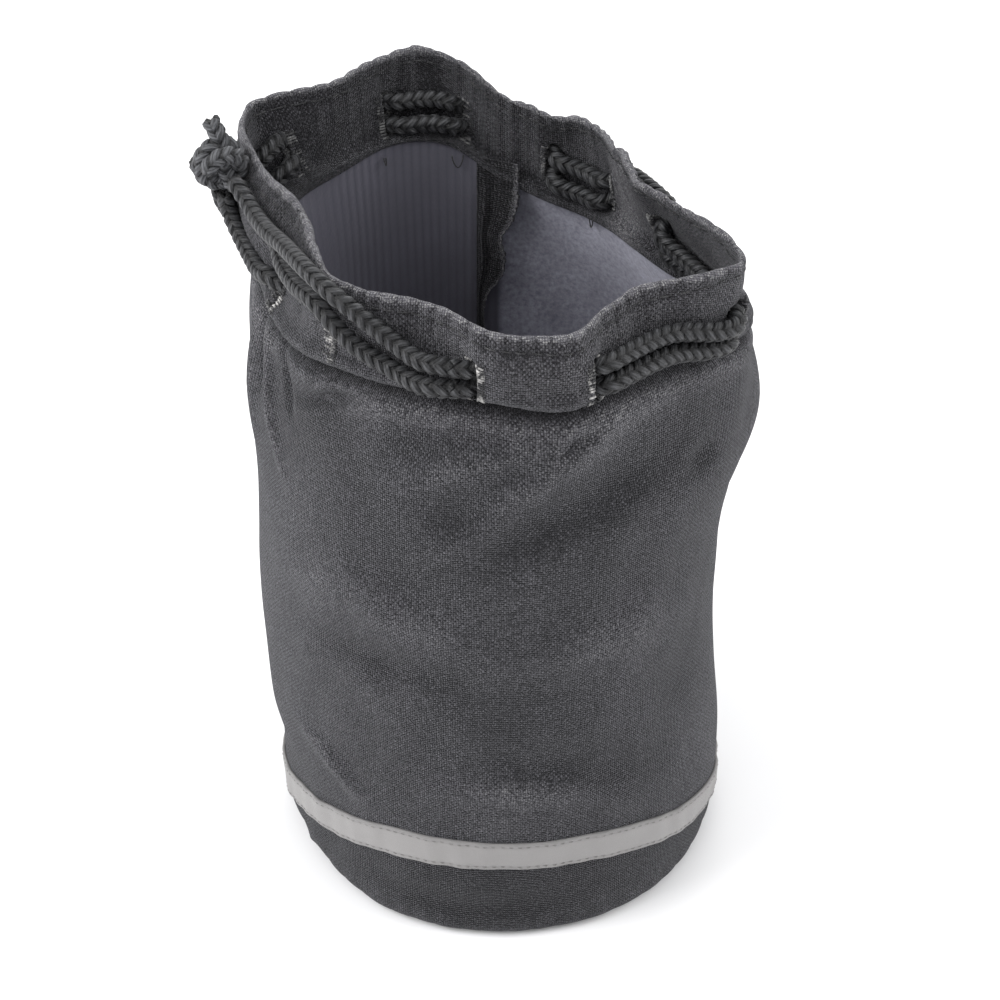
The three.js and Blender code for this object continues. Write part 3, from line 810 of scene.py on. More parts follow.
def make_left_strand():
    """A cut end of the cord, from the knot into the slit at the left."""
    steps = np.linspace(-1, 1, 12)
    tucked = cord_at(TUCKED_SLIT + steps * HALF_CROSSING, 1 - 2 * smooth((steps + 1) / 2), 0)
    end = cord_at(np.array([TUCKED_SLIT + HALF_CROSSING + TUCKED_REACH]), np.array([-1.0]), 0)
    path = softened(resample([*LEFT_ROUTE, *tucked[1:], *end], BRAID_STEP))
    piece = cord_piece("strand_left", path, slice(None), body=None,
                       stands_for=["draw_strand_left"])
    fixed = cord_at(np.array([TUCKED_SLIT - HALF_CROSSING]), np.array([1.0]), 0)[0]
    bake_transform(piece)


make_strands("upper")
make_strands("lower")
make_left_strand()


# Relief of the cloth
def waves(angle, up, seed, height, count, turns, lengths):
    """Soft irregular waves round the pouch, of about that height: count of them are added up,
    turns is how many lie round it, and lengths how long they are upwards in metres, each the
    least and the most."""
    rng = np.random.default_rng(seed)
    total = 0.0
    for _ in range(count):
        round_it = rng.integers(turns[0], turns[1] + 1)
        upward = 2 * math.pi / rng.uniform(*lengths) * rng.choice([-1, 1])
        phase = rng.uniform(0, 2 * math.pi)
        total = total + np.sin(round_it * np.radians(angle) + upward * up + phase)
    return height * (total / math.sqrt(count))


LOBE_DRIFT = (0.8, 5, (3, 17), (1, 2))
LOBE_MIDDLE = 0.6


def lobes(angle, count, seed):
    """Rounded lobes with sharp pinches between them, from 0 to 1, unevenly spaced."""
    drift = waves(angle, 0, seed, *LOBE_DRIFT)
    return np.abs(np.sin(np.radians(angle) * count / 2 + drift)) ** 0.7


def puckers(angle, kind):
    """Lobes that sink in as well as stand out."""
    return lobes(angle, *kind) - LOBE_MIDDLE


# Folds of the body's cloth: points as (angle, height) and half the width, with lengths in
# millimetres, and how far out it is, in steps of FOLD_STEP
FOLD_STEP = 1.6 * MM
FOLD_END_SHARE = 0.25
FOLDS = [
    ([(39, 137), (24, 133), (11, 126), (0, 117), (-12, 107)], 4.5, 1.3),
    ([(56, 124), (34, 121), (21, 117), (5, 110), (-9, 102)], 6, -1.2),
    ([(16, 132), (5, 130), (-5, 127), (-17, 123), (-27, 119)], 3.5, 0.7),
    ([(11, 127.5), (0, 124)], 2.5, -0.5),
    ([(5, 121), (-7, 115), (-18, 110)], 4, -0.9),
    ([(-60, 84), (-38, 90), (-22, 87), (-5, 78)], 6, 0.9),
    ([(-51, 73), (-32, 74), (-12, 73)], 5, -1.0),
    ([(61, 76), (36, 83), (19, 80), (5, 78), (-5, 75)], 6, 0.8),
    ([(37, 67), (48, 61), (64, 53)], 5, -0.8),
    ([(-5, 50), (5, 50), (20, 49), (41, 37)], 5, -0.9),
    ([(-21, 40), (0, 43), (20, 41), (41, 30)], 4, 0.5),
    ([(-61, 42), (-50, 40), (-43, 34), (-37, 31)], 2.6, 1.0),
    ([(-60, 127), (-48, 131), (-37, 135)], 1.5, -1.1),
    ([(24, 135), (17, 132.5), (13.5, 129.5)], 1.4, -0.9),
    ([(58, 119), (48, 116)], 3, -1.0),
    ([(-77, 139), (-75, 130), (-71, 118), (-64, 108)], 1.7, 1.0),
    ([(-84, 139), (-80, 130), (-79, 120)], 1.5, -1.3),
    ([(-91, 139), (-86, 130), (-84, 119), (-80, 108)], 1.9, 1.0),
    ([(-68, 138), (-66, 130), (-62, 121)], 1.3, -0.8),
    ([(-99, 138), (-95, 126), (-92, 112)], 2.4, -0.9),
    ([(-106, 136), (-104, 122), (-100, 106)], 3, 1.0),
    ([(95, 132), (84, 120), (70, 108)], 4, 0.9),
    ([(100, 118), (86, 108), (72, 100)], 4, -0.9),
    ([(128, 130), (140, 118), (158, 104)], 5, 1.0),
    ([(120, 112), (136, 104), (150, 92)], 5, -0.9),
    ([(178, 128), (170, 110), (158, 88)], 5, 0.8),
    ([(205, 132), (212, 114), (222, 98)], 5, -0.9),
    ([(222, 134), (232, 116), (240, 104)], 4, 1.0),
    ([(110, 62), (140, 70), (172, 64)], 6, 0.8),
    ([(188, 60), (215, 68), (246, 60)], 6, -0.8),
    ([(200, 40), (226, 44), (250, 38)], 4, 0.6),
    ([(-112, 24), (-84, 22), (-56, 22)], 9, -1.3),
    ([(-66, 3), (-58, 8), (-50, 13)], 1.6, 0.7),
    ([(-34, 12), (-12, 8), (14, 10)], 4, -0.6),
]


def fold_relief(angle, z):
    total = np.zeros(np.broadcast(angle, z).shape)
    for points, width, height in FOLDS:
        points = np.array(points, float)
        middle = points[:, 0].mean()
        x = away_from(angle, middle)
        px, pz = away_from(points[:, 0], middle), points[:, 1] * MM
        lengths = np.hypot(np.diff(px), np.diff(pz))
        whole, done = lengths.sum(), 0.0
        best, at = np.full(total.shape, np.inf), np.zeros(total.shape)
        for k, length in enumerate(lengths):
            dx, dz = px[k + 1] - px[k], pz[k + 1] - pz[k]
            t = np.clip(((x - px[k]) * dx + (z - pz[k]) * dz) / length ** 2, 0, 1)
            away = np.hypot(x - px[k] - t * dx, z - pz[k] - t * dz)
            at = np.where(away < best, (done + t * length) / whole, at)
            best = np.minimum(best, away)
            done += length
        fade = mix(FOLD_END_SHARE, 1, np.sin(math.pi * at))
        total += height * FOLD_STEP * bell(best, width * MM) * fade
    return total


# Lobes: how many go round, and their seed
SEAM_PUCKERS = (74, 5)
FOOT_PUCKERS = (46, 6)
# Waves of the canvas, from the seed on, with their heights in millimetres
BROAD_WAVES = (3, 0.35, 7, (2, 6), (0.05, 0.12))
SMALL_WAVES = (4, 0.12, 9, (8, 22), (0.015, 0.05))


def body_relief(angle, z):
    """How far the canvas stands out from the model's smooth face."""
    below_seam = seam_z(angle) - z
    broad = waves(angle, z, *BROAD_WAVES)
    small = waves(angle, z, *SMALL_WAVES)
    pinch = puckers(angle, SEAM_PUCKERS) * bells(below_seam, (0.35, 1.5, 3))
    crimp = puckers(angle, FOOT_PUCKERS) * bells(z, (0.22, 3, 4))
    groove = bells(below_seam, (-2.6, 0, 2), (0.6, 4.5, 2.8))
    return fold_relief(angle, z) + (broad + small + pinch + crimp + groove) * MM


def cloth_radius(angle, z):
    return body_radius(angle, z) + body_relief(angle, z)


def tape_low(angle):
    return SEAM_HEIGHT * around(TAPE_HEIGHT_SHARES, angle)


# The canvas tube: its rows lie closer towards the foot, and its top edge is turned in
BODY_COLUMNS = 640
BODY_ROWS = 270
INSIDE_ROWS = 30
ROW_CROWDING = 1.08
BODY_LOW = 0.25 * MM
BODY_OVER = 0.1 * MM
TURNED_IN = np.array([[0.55], [1.1]]) * MM


def make_body():
    angles = turned_angles(BODY_COLUMNS)
    top = seam_z(angles) + BODY_OVER
    z = mix(BODY_LOW, top, np.linspace(0, 1, BODY_ROWS)[:, None] ** ROW_CROWDING)
    relief = body_relief(angles, z)
    outer = body_radius(angles, z) + relief
    inside_z = mix(BODY_LOW, top, np.linspace(1, 0, INSIDE_ROWS)[:, None])
    inner = body_radius(angles, inside_z) + np.minimum(body_relief(angles, inside_z), 0) - CANVAS
    radius = np.concatenate([outer, outer[-1:] - TURNED_IN, inner])
    z_all = np.concatenate([z, top + 0 * TURNED_IN, inside_z])
    # The folds' ridges are worn paler, and their hollows are painted darker, as painted shade.
    raised = np.clip(relief / MM, -0.8, 1.0)
    painted_shade_below_tape = smooth((tape_low(angles) + TAPE_WIDTH / 2 - z) / (2 * MM))
    # Worn paler a little below the seam, with painted shade right at the seam under the collar's lip,
    # painted shade below the tape where the foot curves under, and wear on the foot's puckers.
    wear_and_painted_light = (bells(top - z, (0.26, 3, 4), (-0.6, 0, 1.8)) + 0.2 * raised - 0.4 * painted_shade_below_tape
            + bells(z, (0.3, 4, 3.5)) * lobes(angles, *FOOT_PUCKERS))
    wear_and_painted_light = np.concatenate([wear_and_painted_light, np.zeros((len(radius) - len(z), BODY_COLUMNS))])
    return wall("body_canvas", angles, radius, z_all, canvas_cloth, {"wear_and_painted_light": wear_and_painted_light}, slot="canvas",
                stands_for=["outer_shell"])


body_canvas = make_body()


def ring_layer(name, depth, thickness, low, drop, material, columns, rows, values=None,
               inside=None, outside=None, **facts):
    """A layer of the wall, its depth measured in from the canvas, and its top measured down
    from the seam. inside and outside give how far its two faces stand in from there."""
    angles = turned_angles(columns)
    top = seam_z(angles) - drop
    up = mix(low, top, np.linspace(0, 1, rows)[:, None])
    down = up[::-1]
    inner = body_radius(angles, up) - depth - thickness
    outer = body_radius(angles, down) - depth
    if inside is not None:
        inner = inner - inside(angles, up)
    if outside is not None:
        outer = outer - outside(angles, down)
    radius, z = np.concatenate([inner, outer]), np.concatenate([up, down])
    return wall(name, angles, radius, z, material, values, **facts)


PADDING_COLUMNS = 360
PADDING_ROWS = 130
PADDING_DROP = 3 * MM


def pressed(angle, z):
    """How far the canvas's hollows press into the padding."""
    return np.clip(-body_relief(angle, z), 0, FOAM - 2 * GAP)


padding = ring_layer("wall_padding", PADDING_DEPTH + GAP, FOAM - GAP, LINING_DEPTH, PADDING_DROP,
                     foam_sheet, PADDING_COLUMNS, PADDING_ROWS, outside=pressed, slot="padding",
                     stands_for=["body_padding"])

# The lining: ribbed cloth from the seam flap round the left, napped cloth on the right panel
FLAP_ANGLE = 181
PANEL_ANGLE = 30
LINING_COLUMNS = 900
LINING_ROWS = 60
RIB_HEIGHT = 0.07 * MM
SLACK_WAVES = (12, 0.3 * MM, 7, (2, 9), (0.04, 0.12))
# How far below the seam the cloth is slack
SLACK_FROM = 8 * MM
# How far the lining's faces keep inside the model's
LINING_SHY = 0.1 * MM


def napped(angle):
    """1 on the napped panel, 0 on the ribbed one."""
    angle = np.asarray(angle, float) % TURN
    return smooth((FLAP_ANGLE - angle) / 2) * smooth((angle - PANEL_ANGLE) / 6)


def lining_relief(angle, z):
    across = np.radians(angle) * BODY_RADIUS / RIB_PITCH
    rib = np.abs(np.sin(math.pi * across)) * RIB_HEIGHT * (1 - 0.85 * napped(angle))
    slack = waves(angle, z, *SLACK_WAVES)
    return rib + slack * smooth((seam_z(angle) - z) / SLACK_FROM)


mask = np.tile(napped(turned_angles(LINING_COLUMNS)), 2 * LINING_ROWS)
lining_tube = ring_layer("lining_tube_cloth", LINING_DEPTH, LINING - LINING_SHY, WALL + GAP,
                         LINING_SHY, lining_cloth, LINING_COLUMNS, LINING_ROWS, {"napped": mask},
                         inside=lining_relief, slot="lining", stands_for=["lining_tube"])


BASE_WAVE = 0.15 * MM


def base_relief(x, y):
    return BASE_WAVE * np.sin(x * 190 + 0.7) * np.sin(y * 170 + 1.9)


# Plates of the base
plate("base_canvas", CANVAS / 2, PADDING_DEPTH, 0, CANVAS, canvas_cloth, {"wear_and_painted_light": 0.1},
      slot="canvas", stands_for=["base_disc"])
base_foam = plate("base_foam", PADDING_DEPTH, PADDING_DEPTH, PADDING_DEPTH, PADDING_DEPTH + FOAM,
                  foam_sheet, slot="padding", stands_for=["base_padding"])
plate("lining_floor", LINING_DEPTH, WALL + GAP, LINING_DEPTH + LINING_SHY / 2, WALL - LINING_SHY,
      lining_cloth, {"napped": 0.6}, base_relief, slot="lining", stands_for=["lining_base"])


# The collar
RIM_LOBES = (82, 21)
# Waves of the collar and of its rim, with their heights in millimetres
COLLAR_WAVES = (22, 0.3, 8, (9, 26), (0.012, 0.04))
RIM_WAVES = (23, 0.4, 7, (9, 30), (1, 2))
STITCH_DROP = 3.0 * MM
WRINKLE_FADE = 3.5 * MM
# The groove that the topstitching draws in: height, place and width in millimetres
STITCH_GROOVE = (-0.16, STITCH_DROP / MM, 0.5)
SLIT_HALF = 4.7 * MM
# How far round a slit its lips are drawn aside, how fast that fades, and the same for the side
SLIT_REACH = 6.5 * MM
LIP_FADE = 3.2 * MM
SIDE_FADE = 4 * MM
GAPES = {TUCKED_SLIT: 2.4 * MM, SPARE_SLIT: 0.5 * MM, 190: 0.1 * MM, 235: 0.1 * MM}
USUAL_GAPE = 1.9 * MM
# The cord's side at the lips of a closed slit, and of one that gapes as usual
LIP_SIDES = (0.4, 1.7)
ALL_SLITS = [*SLIT_ANGLES, TUCKED_SLIT, SPARE_SLIT]


# The bulge under the strands at the left, with its height, place and width, the tacked join of
# the collar's ends at the back, and the creases that run down the collar: angle, depth and width
BULGE_ANGLE = 263
BULGE = (4.5, 0, 10)
TACK_ANGLE = 201
CREASES = [(243, 1.1, 2.0), (230, 0.5, 2.5), (193, 0.8, 1.6), (176, 0.6, 2.0), (150, 0.7, 1.8),
           (128, 1.2, 2.5), (57, 0.7, 2.2), (38, 0.6, 2.6), (8, 0.35, 2.0), (-24, 0.5, 2.2),
           (-40, 0.6, 2.0), (-62, 0.6, 1.8)]


def rim_lobes(angle):
    return lobes(angle, *RIM_LOBES)


def slit_gape(slit):
    return GAPES.get(slit, USUAL_GAPE)


def openness(slit, share):
    """1 at the middle of a slit's height, 0 at its ends and past them."""
    x = (share - SLIT_SHARE) * collar_width(slit) / SLIT_HALF
    return np.clip(1 - x ** 4, 0, 1) ** 0.35


def opened(angle, share, hand):
    """The angle and the cord's side at points of the collar, with its slits held open. hand is
    -1 or 1 on the two lips of a slit, and 0 elsewhere."""
    side = side_of_cord(angle)
    shifted = angle + 0.0 * share
    for slit in ALL_SLITS:
        away = away_from(angle, slit)
        near = np.abs(away) < SLIT_REACH
        towards = np.where(np.abs(away) < 1e-6, hand, np.sign(away))
        open_here = openness(slit, share)
        shift = towards * slit_gape(slit) / 2 * open_here * np.exp(-np.abs(away) / LIP_FADE)
        shifted = shifted + np.where(near, degrees_along(shift), 0)
        if slit in SLIT_ANGLES:
            before = 1 if SLIT_ANGLES.index(slit) % 2 == 0 else -1
            sharp = -before * towards * mix(*LIP_SIDES, slit_gape(slit) / USUAL_GAPE)
            weight = open_here * bell(away, SIDE_FADE)
            side = side + np.where(near, (sharp - side) * weight, 0)
    return shifted, side


def collar_relief(angle, share):
    """How far the collar's faces stand out from the model's smooth ones."""
    up = share * collar_width(angle)
    drop = collar_width(angle) - up
    lobe = rim_lobes(angle)
    bulge = bells(away_from(angle, BULGE_ANGLE), BULGE) * np.sin(math.pi * np.clip(share, 0, 1))
    tack = away_from(angle, TACK_ANGLE)
    creases = sum(bells(away_from(angle, crease), (-depth, 0, width))
                  for crease, depth, width in CREASES)
    wrinkle = (lobe - LOBE_MIDDLE) * np.exp(-np.clip(drop - STITCH_DROP, 0, 1) / WRINKLE_FADE)
    small = waves(angle, up, *COLLAR_WAVES)
    relief = (bells(up, (-0.3, 0, 0.4), (1.2, 2, 2)) + bulge
              + bells(tack, (0.5, 0, 0.8)) + bells(np.abs(tack), (-0.7, 2.4, 1))
              + creases * smooth(share * 2)
              + puckers(angle, SEAM_PUCKERS) * bells(up, (0.3, 1.2, 2))
              + bells(drop, (-0.55, 0, 1.6), STITCH_GROOVE)
              + bells(drop, (0.12, 1.3, 1)) * (0.3 + 0.7 * lobe)
              + 0.35 * wrinkle * smooth(drop / MM) + small * smooth(up / (3 * MM)))
    return relief * MM


def rim_lift(angle):
    ripple = 0.26 * puckers(angle, RIM_LOBES) + waves(angle, 0, *RIM_WAVES)
    return (ripple + bells(away_from(angle, TACK_ANGLE), (1.3, 0, 7))) * MM


def collar_face(angle, share, depth, hand=0, relief_sign=1):
    """Points of the collar at a depth in from its outer face, as angle, radius and height."""
    shifted, side = opened(angle, share, hand)
    radius = collar_radius(angle, share, side) - depth + relief_sign * collar_relief(angle, share)
    z = collar_z(angle, share) + rim_lift(angle) * smooth((share - 0.5) * 2)
    return shifted, radius, z


COLLAR_COLUMNS = 840
# The least angle between a slit and the next column
COLUMN_CLEARANCE = 0.2
FACE_ROWS = 64
FOLD_SHARES = np.linspace(0.06, 0.94, 9)
TOP_SHARE = 0.94
INNER_RELIEF_SHARE = 0.4
HEM_DROP = 2.6 * MM
HEM_LIFT_ANGLE = 206
HEM_LIFT_WIDTH = 16 * MM
HEM_LIFT_SHARE = 0.85
HEM_ROWS = 6
HEM_THICKNESS = 0.9 * MM
HEM_LEAN = 0.4 * MM
HEM_INSET = 1 * MM
RIM_THINNING = 0.7 * MM
THINNING_SHARE = 0.6
RIM_BEAD = 0.12


def collar_columns():
    """Angles of the collar's columns, with each slit's angle there twice, and the hands."""
    steps = turned_angles(COLLAR_COLUMNS)
    slits = np.array([s % TURN for s in ALL_SLITS])
    clear = np.abs((steps[:, None] - slits + TURN / 2) % TURN - TURN / 2).min(1) > COLUMN_CLEARANCE
    angles = np.concatenate([steps[clear], slits, slits])
    hands = np.concatenate([np.zeros(clear.sum()), -np.ones(len(slits)), np.ones(len(slits))])
    order = np.lexsort((hands, angles))
    return angles[order], hands[order]


# A painted highlight on the inner face, where its wall turns towards the key light: the angle, and
# the amount, place and width
INNER_HIGHLIGHT_ANGLE = 126
INNER_HIGHLIGHT = (0.75, 0, 11)
LIP_REACH = 3 * MM


def collar_wear_and_painted_light(angles, share, outside):
    """How pale the collar is worn: most on the rim, the slits' lips and the tacked join. It also
    carries painted shade along the topstitching's groove and a painted highlight on the inner face.
    """
    drop = (1 - np.clip(share, 0, 1)) * collar_width(angles)
    wear_and_painted_light = bells(drop, (1.5, 0, 0.8)) * (0.35 + 0.65 * rim_lobes(angles))
    # A little paler below the rim, and darker along the topstitching's groove, as painted shade.
    wear_and_painted_light = wear_and_painted_light + bells(drop, (0.1, 6, 5), (-0.2, STITCH_DROP / MM, 0.5))
    for slit in ALL_SLITS:
        lip = np.abs(away_from(angles, slit))
        rubbed = np.where(lip < LIP_REACH, bells(lip, (0.5, 0, 1.2)), 0)
        wear_and_painted_light = wear_and_painted_light + rubbed * openness(slit, share)
    wear_and_painted_light = wear_and_painted_light + bells(away_from(angles, TACK_ANGLE), (0.7, 0, 0.5))
    # The inner face is a darker facing, with a painted highlight where its wall turns towards the key
    # light.
    inner = wear_and_painted_light * 0.7 - 0.12 + bells(away_from(angles, INNER_HIGHLIGHT_ANGLE), INNER_HIGHLIGHT)
    return np.where(outside, wear_and_painted_light + 0.05, inner)


def make_collar():
    angles, hands = collar_columns()
    shares = np.linspace(0, TOP_SHARE, FACE_ROWS)[:, None]
    outer = collar_face(angles, shares, 0 * shares, hands)
    inner_shares = shares[::-1]
    thinned = RIM_THINNING * smooth((inner_shares - THINNING_SHARE) / (TOP_SHARE - THINNING_SHARE))
    inner_depth = collar_depth(inner_shares) - thinned
    inner = collar_face(angles, inner_shares, inner_depth, hands, INNER_RELIEF_SHARE)
    top_angle, top_out, top_z = (x[-1] for x in outer)
    top_in = inner[1][0]
    lift = rim_z(angles) + rim_lift(angles) - top_z
    swing = FOLD_SHARES[:, None] * math.pi
    middle, half = (top_out + top_in) / 2, (top_out - top_in) / 2
    bead = 1 + RIM_BEAD * rim_lobes(angles)
    fold = top_angle, middle + half * np.cos(swing) * bead, top_z + lift * np.sin(swing) ** 0.8
    hem_down = np.linspace(0.15, 1, HEM_ROWS)[:, None]
    bottom = collar_bottom(angles)
    hem_in = body_radius(angles, bottom) - WALL - HEM_INSET
    lifted = HEM_LIFT_SHARE * bell(away_from(angles, HEM_LIFT_ANGLE), HEM_LIFT_WIDTH)
    hem_drop = HEM_DROP * (1 - lifted)
    hem_front = (angles, hem_in + HEM_LEAN * hem_down, bottom - hem_drop * hem_down)
    hem_back = (angles, hem_in + HEM_THICKNESS + 0 * hem_down, bottom - hem_drop * hem_down[::-1])
    parts = (outer, fold, inner, hem_front, hem_back)
    shifted, radius, z = (np.concatenate([np.broadcast_to(p[k], (len(p[1]), len(angles)))
                                          for p in parts]) for k in range(3))
    points = place(shifted, radius, z)
    rows, columns = points.shape[:2]
    faces, row, column = grid(rows, columns, True)
    uv = cloth_uv(points, row, column, FACE_ROWS - 1)
    whole = (hands[column[:, 0]] >= 0) | (hands[column[:, 1] % columns] <= 0)
    # Walls of the slits, from the outer leaf to the inner one
    first_inner = FACE_ROWS + len(FOLD_SHARES)
    mirror = first_inner + FACE_ROWS - 1
    lips = []
    for number in np.flatnonzero(hands):
        slit = min(ALL_SLITS, key=lambda s: abs(away_from(angles[number], s)))
        inside = openness(slit, shares[:, 0]) > 0
        k = np.flatnonzero(inside[:-1] | inside[1:])
        lip = np.stack([k, k + 1, mirror - k - 1, mirror - k], 1) * columns + number
        lips.append(lip if hands[number] < 0 else lip[:, [0, 3, 2, 1]])
    lips = np.concatenate(lips)
    flat = points.reshape(-1, 3)
    faces = np.concatenate([faces[whole], lips])
    uv = np.concatenate([uv[whole], flat[lips][..., [2, 1]]])
    outside = np.arange(rows)[:, None] < first_inner
    wear_and_painted_light = collar_wear_and_painted_light(angles, (z - bottom) / (rim_z(angles) - bottom), outside)
    piece = make("collar", flat, faces, canvas_cloth, uv, {"wear_and_painted_light": wear_and_painted_light}, slot="canvas",
                 stands_for=["collar_band"])
    weld(piece)
    return piece


def weld(piece):
    """Joins the points of a mesh that lie on each other."""
    work = bmesh.new()
    work.from_mesh(piece.data)
    bmesh.ops.remove_doubles(work, verts=work.verts, dist=1e-6)
    bmesh.ops.recalc_face_normals(work, faces=work.faces)
    work.to_mesh(piece.data)
    work.free()


collar = make_collar()


# Stitching. A stitch has its length, the space after it, the thickness of its thread, and how
# deep its ends sink in.
GIRTH = 2 * math.pi * BODY_RADIUS
RIM_STITCH = (2.3 * MM, 0.7 * MM, 0.34 * MM, 0.25 * MM)
TAPE_STITCH = (1.1 * MM, 0.8 * MM, 0.24 * MM, 0.2 * MM)
STITCH_JITTER = 0.12 * MM
STITCH_FLATNESS = 0.9
INNER_THREAD_LIFT = 0.4 * MM


def stitch_run(tubes, at, stitch, seed):
    """Stitches along a closed line: at(distances) gives points and normals."""
    length, space, thread, sink = stitch
    rng = np.random.default_rng(seed)
    n = round(GIRTH / (length + space))
    for k in range(n):
        start = GIRTH * k / n + rng.uniform(-STITCH_JITTER, STITCH_JITTER)
        along = np.linspace(0, 1, 7)
        points, normals = at(start + along * length)
        rise = np.sin(math.pi * along) ** 0.5
        path = points + normals * (rise * (thread / 2 + sink) - sink)[:, None]
        tubes.add(path, normals, thread / 2, thread / 2 * STITCH_FLATNESS)


def collar_points(angle, share, depth=0.0, sign=1):
    angle, share = np.broadcast_arrays(np.asarray(angle, float), share)
    shifted, radius, z = collar_face(angle, share, depth + 0 * share, 0, sign)
    return place(shifted, radius, z)


def radial(angle):
    turned = np.radians(angle)
    return np.stack([np.sin(turned), -np.cos(turned), 0 * turned], -1)


def make_rim_stitches():
    """The topstitching under the rim, seen on both faces of the collar."""
    tubes = Tubes()

    def share_at(angle):
        return 1 - STITCH_DROP / collar_width(angle)

    def outside(distance):
        angle = degrees_along(distance)
        return collar_points(angle, share_at(angle)), radial(angle)

    def inside(distance):
        angle = degrees_along(distance)
        share = share_at(angle)
        depth = collar_depth(share) - INNER_THREAD_LIFT
        return collar_points(angle, share, depth, INNER_RELIEF_SHARE), -radial(angle)

    stitch_run(tubes, outside, RIM_STITCH, seed=31)
    stitch_run(tubes, inside, RIM_STITCH, seed=32)
    tubes.make("rim_stitching", dark_thread, slot="thread")


make_rim_stitches()


# Buttonhole threads: their heights from the slit's middle in millimetres, how far they reach
# from it, half their width and height, how far they stand off the cloth, the step of their
# paths, their first seed, the share missing on each lip, and the slits whose thread is pale
THREAD_STEPS = np.arange(-4.4, 4.5, 0.62)
THREAD_REACH = 1.7 * MM
THREAD_HALVES = (0.24 * MM, 0.2 * MM)
THREAD_LIFT = 0.2 * MM
THREAD_PATH_STEP = 0.35 * MM
THREAD_SEED = 100
MISSING_SHARES = {-1: 0.25, 1: 0.08}
PALE_SLITS = [*SLIT_ANGLES[:2], TUCKED_SLIT, SPARE_SLIT]


def make_slit_threads(number, slit):
    """Buttonhole stitches wrapped round the stitched lips of a slit."""
    tubes = Tubes()
    rng = np.random.default_rng(THREAD_SEED + number)
    width = float(collar_width(slit))
    for hand, missing in MISSING_SHARES.items():
        for step in THREAD_STEPS:
            if rng.random() < missing:
                continue
            share = SLIT_SHARE + (step + rng.uniform(-0.1, 0.1)) * MM / width
            reach = THREAD_REACH * rng.uniform(0.8, 1.1) * np.linspace(1, 0, 6)
            edge = slit + hand * degrees_along(reach)
            edge[-1] = slit
            hands = np.where(reach == 0, hand, 0)
            shares = share + 0 * reach
            out = place(*collar_face(edge, shares, 0 * reach, hands))
            back = place(*collar_face(edge, shares, collar_depth(shares), hands,
                                      INNER_RELIEF_SHARE))[::-1]
            normals = radial(edge) * THREAD_LIFT
            out = out + normals
            back = back - normals[::-1]
            into_slit = hand * np.cross((0, 0, 1), radial(slit)) * THREAD_LIFT
            middle = (out[-1] + back[0]) / 2 - into_slit
            path = resample([*out, middle, *back], THREAD_PATH_STEP)
            tubes.add(path, path - (out[0] + back[-1]) / 2, *THREAD_HALVES)
    thread = pale_thread if slit in PALE_SLITS else faded_thread
    tubes.make(f"buttonhole_threads_{number + 1}", thread, slot="thread",
               stands_for=[f"slit_stitching_{number + 1}"])


for number, slit in enumerate(ALL_SLITS):
    make_slit_threads(number, slit)


# The satin tape round the foot
TAPE_COLUMNS = 640
TAPE_ROWS = 26
TAPE_MARGIN = 0.85 * MM
TAPE_GAP = 0.12 * MM
TAPE_BACK_GAP = 0.05 * MM
# How far its edges are rounded off, and over what width, its grooves, and its waves
TAPE_ROUNDING = 0.25 * MM
TAPE_EDGE = 0.4 * MM
TAPE_GROOVE = 0.14 * MM
TAPE_GROOVE_WIDTH = 0.35 * MM
TAPE_WAVES = (41, 0.1 * MM, 6, (20, 60), (0.02, 0.05))


def tape_face(angle, share):
    """Radius and height of the tape's face, at a share of its width."""
    z = tape_low(angle) + share * TAPE_WIDTH
    edge = np.minimum(share, 1 - share) * TAPE_WIDTH
    round_off = TAPE_ROUNDING * np.clip(1 - edge / TAPE_EDGE, 0, 1) ** 2
    groove = TAPE_GROOVE * bell(edge - TAPE_MARGIN, TAPE_GROOVE_WIDTH)
    cover = cloth_radius(angle, z)
    ripple = waves(angle, z, *TAPE_WAVES)
    return cover + TAPE_GAP + TAPE_THICKNESS - round_off - groove + ripple, z


def make_tape():
    angles = turned_angles(TAPE_COLUMNS)
    shares = np.linspace(0, 1, TAPE_ROWS)[:, None]
    outer, z = tape_face(angles, shares)
    inner_z = z[::-1]
    inner = cloth_radius(angles, inner_z) + TAPE_BACK_GAP
    radius, z_all = np.concatenate([outer, inner]), np.concatenate([z, inner_z])
    edge = np.minimum(shares, 1 - shares) * TAPE_WIDTH
    # Painted shade at the tape's edges and along its stitch grooves
    wear_and_painted_light = np.broadcast_to(bells(edge, (1, 0, 0.35), (0.35, TAPE_MARGIN / MM, 0.3)), outer.shape)
    wear_and_painted_light = np.concatenate([wear_and_painted_light, 0 * wear_and_painted_light])
    wall("tape", angles, radius, z_all, tape_cloth, {"wear_and_painted_light": wear_and_painted_light}, slot="tape",
         stands_for=["trim_strip"])


make_tape()


def make_tape_stitches():
    """A row of stitches along each edge of the tape."""
    tubes = Tubes()
    for share, seed in ((TAPE_MARGIN / TAPE_WIDTH, 51), (1 - TAPE_MARGIN / TAPE_WIDTH, 52)):
        def at(distance, share=share):
            angle = degrees_along(distance)
            radius, z = tape_face(angle, share + 0 * angle)
            return place(angle, radius, z), radial(angle)

        stitch_run(tubes, at, TAPE_STITCH, seed)
    tubes.make("tape_stitching", tape_thread, slot="thread")


make_tape_stitches()


# The seam allowance inside: a strip of canvas that lies over to the right, with a frayed edge
FLAP_ROOT = 187
FLAP_FOOT = 14 * MM
FLAP_ROWS = 220
FLAP_ACROSS = 24
FLAP_THICKNESS = 0.9 * MM
FLAP_CLOTH = 6 * MM
FLAP_TOP_GAP = 0.5 * MM
FRAY_WAVES = (63, 0.25 * MM, 9, (1, 2), (0.001, 0.003))
FLAP_WAVES = (62, 0.8 * MM, 6, (0, 1), (0.012, 0.04))
FLAP_LIFT = 2 * MM
FLAP_BEND = 0.8 * MM
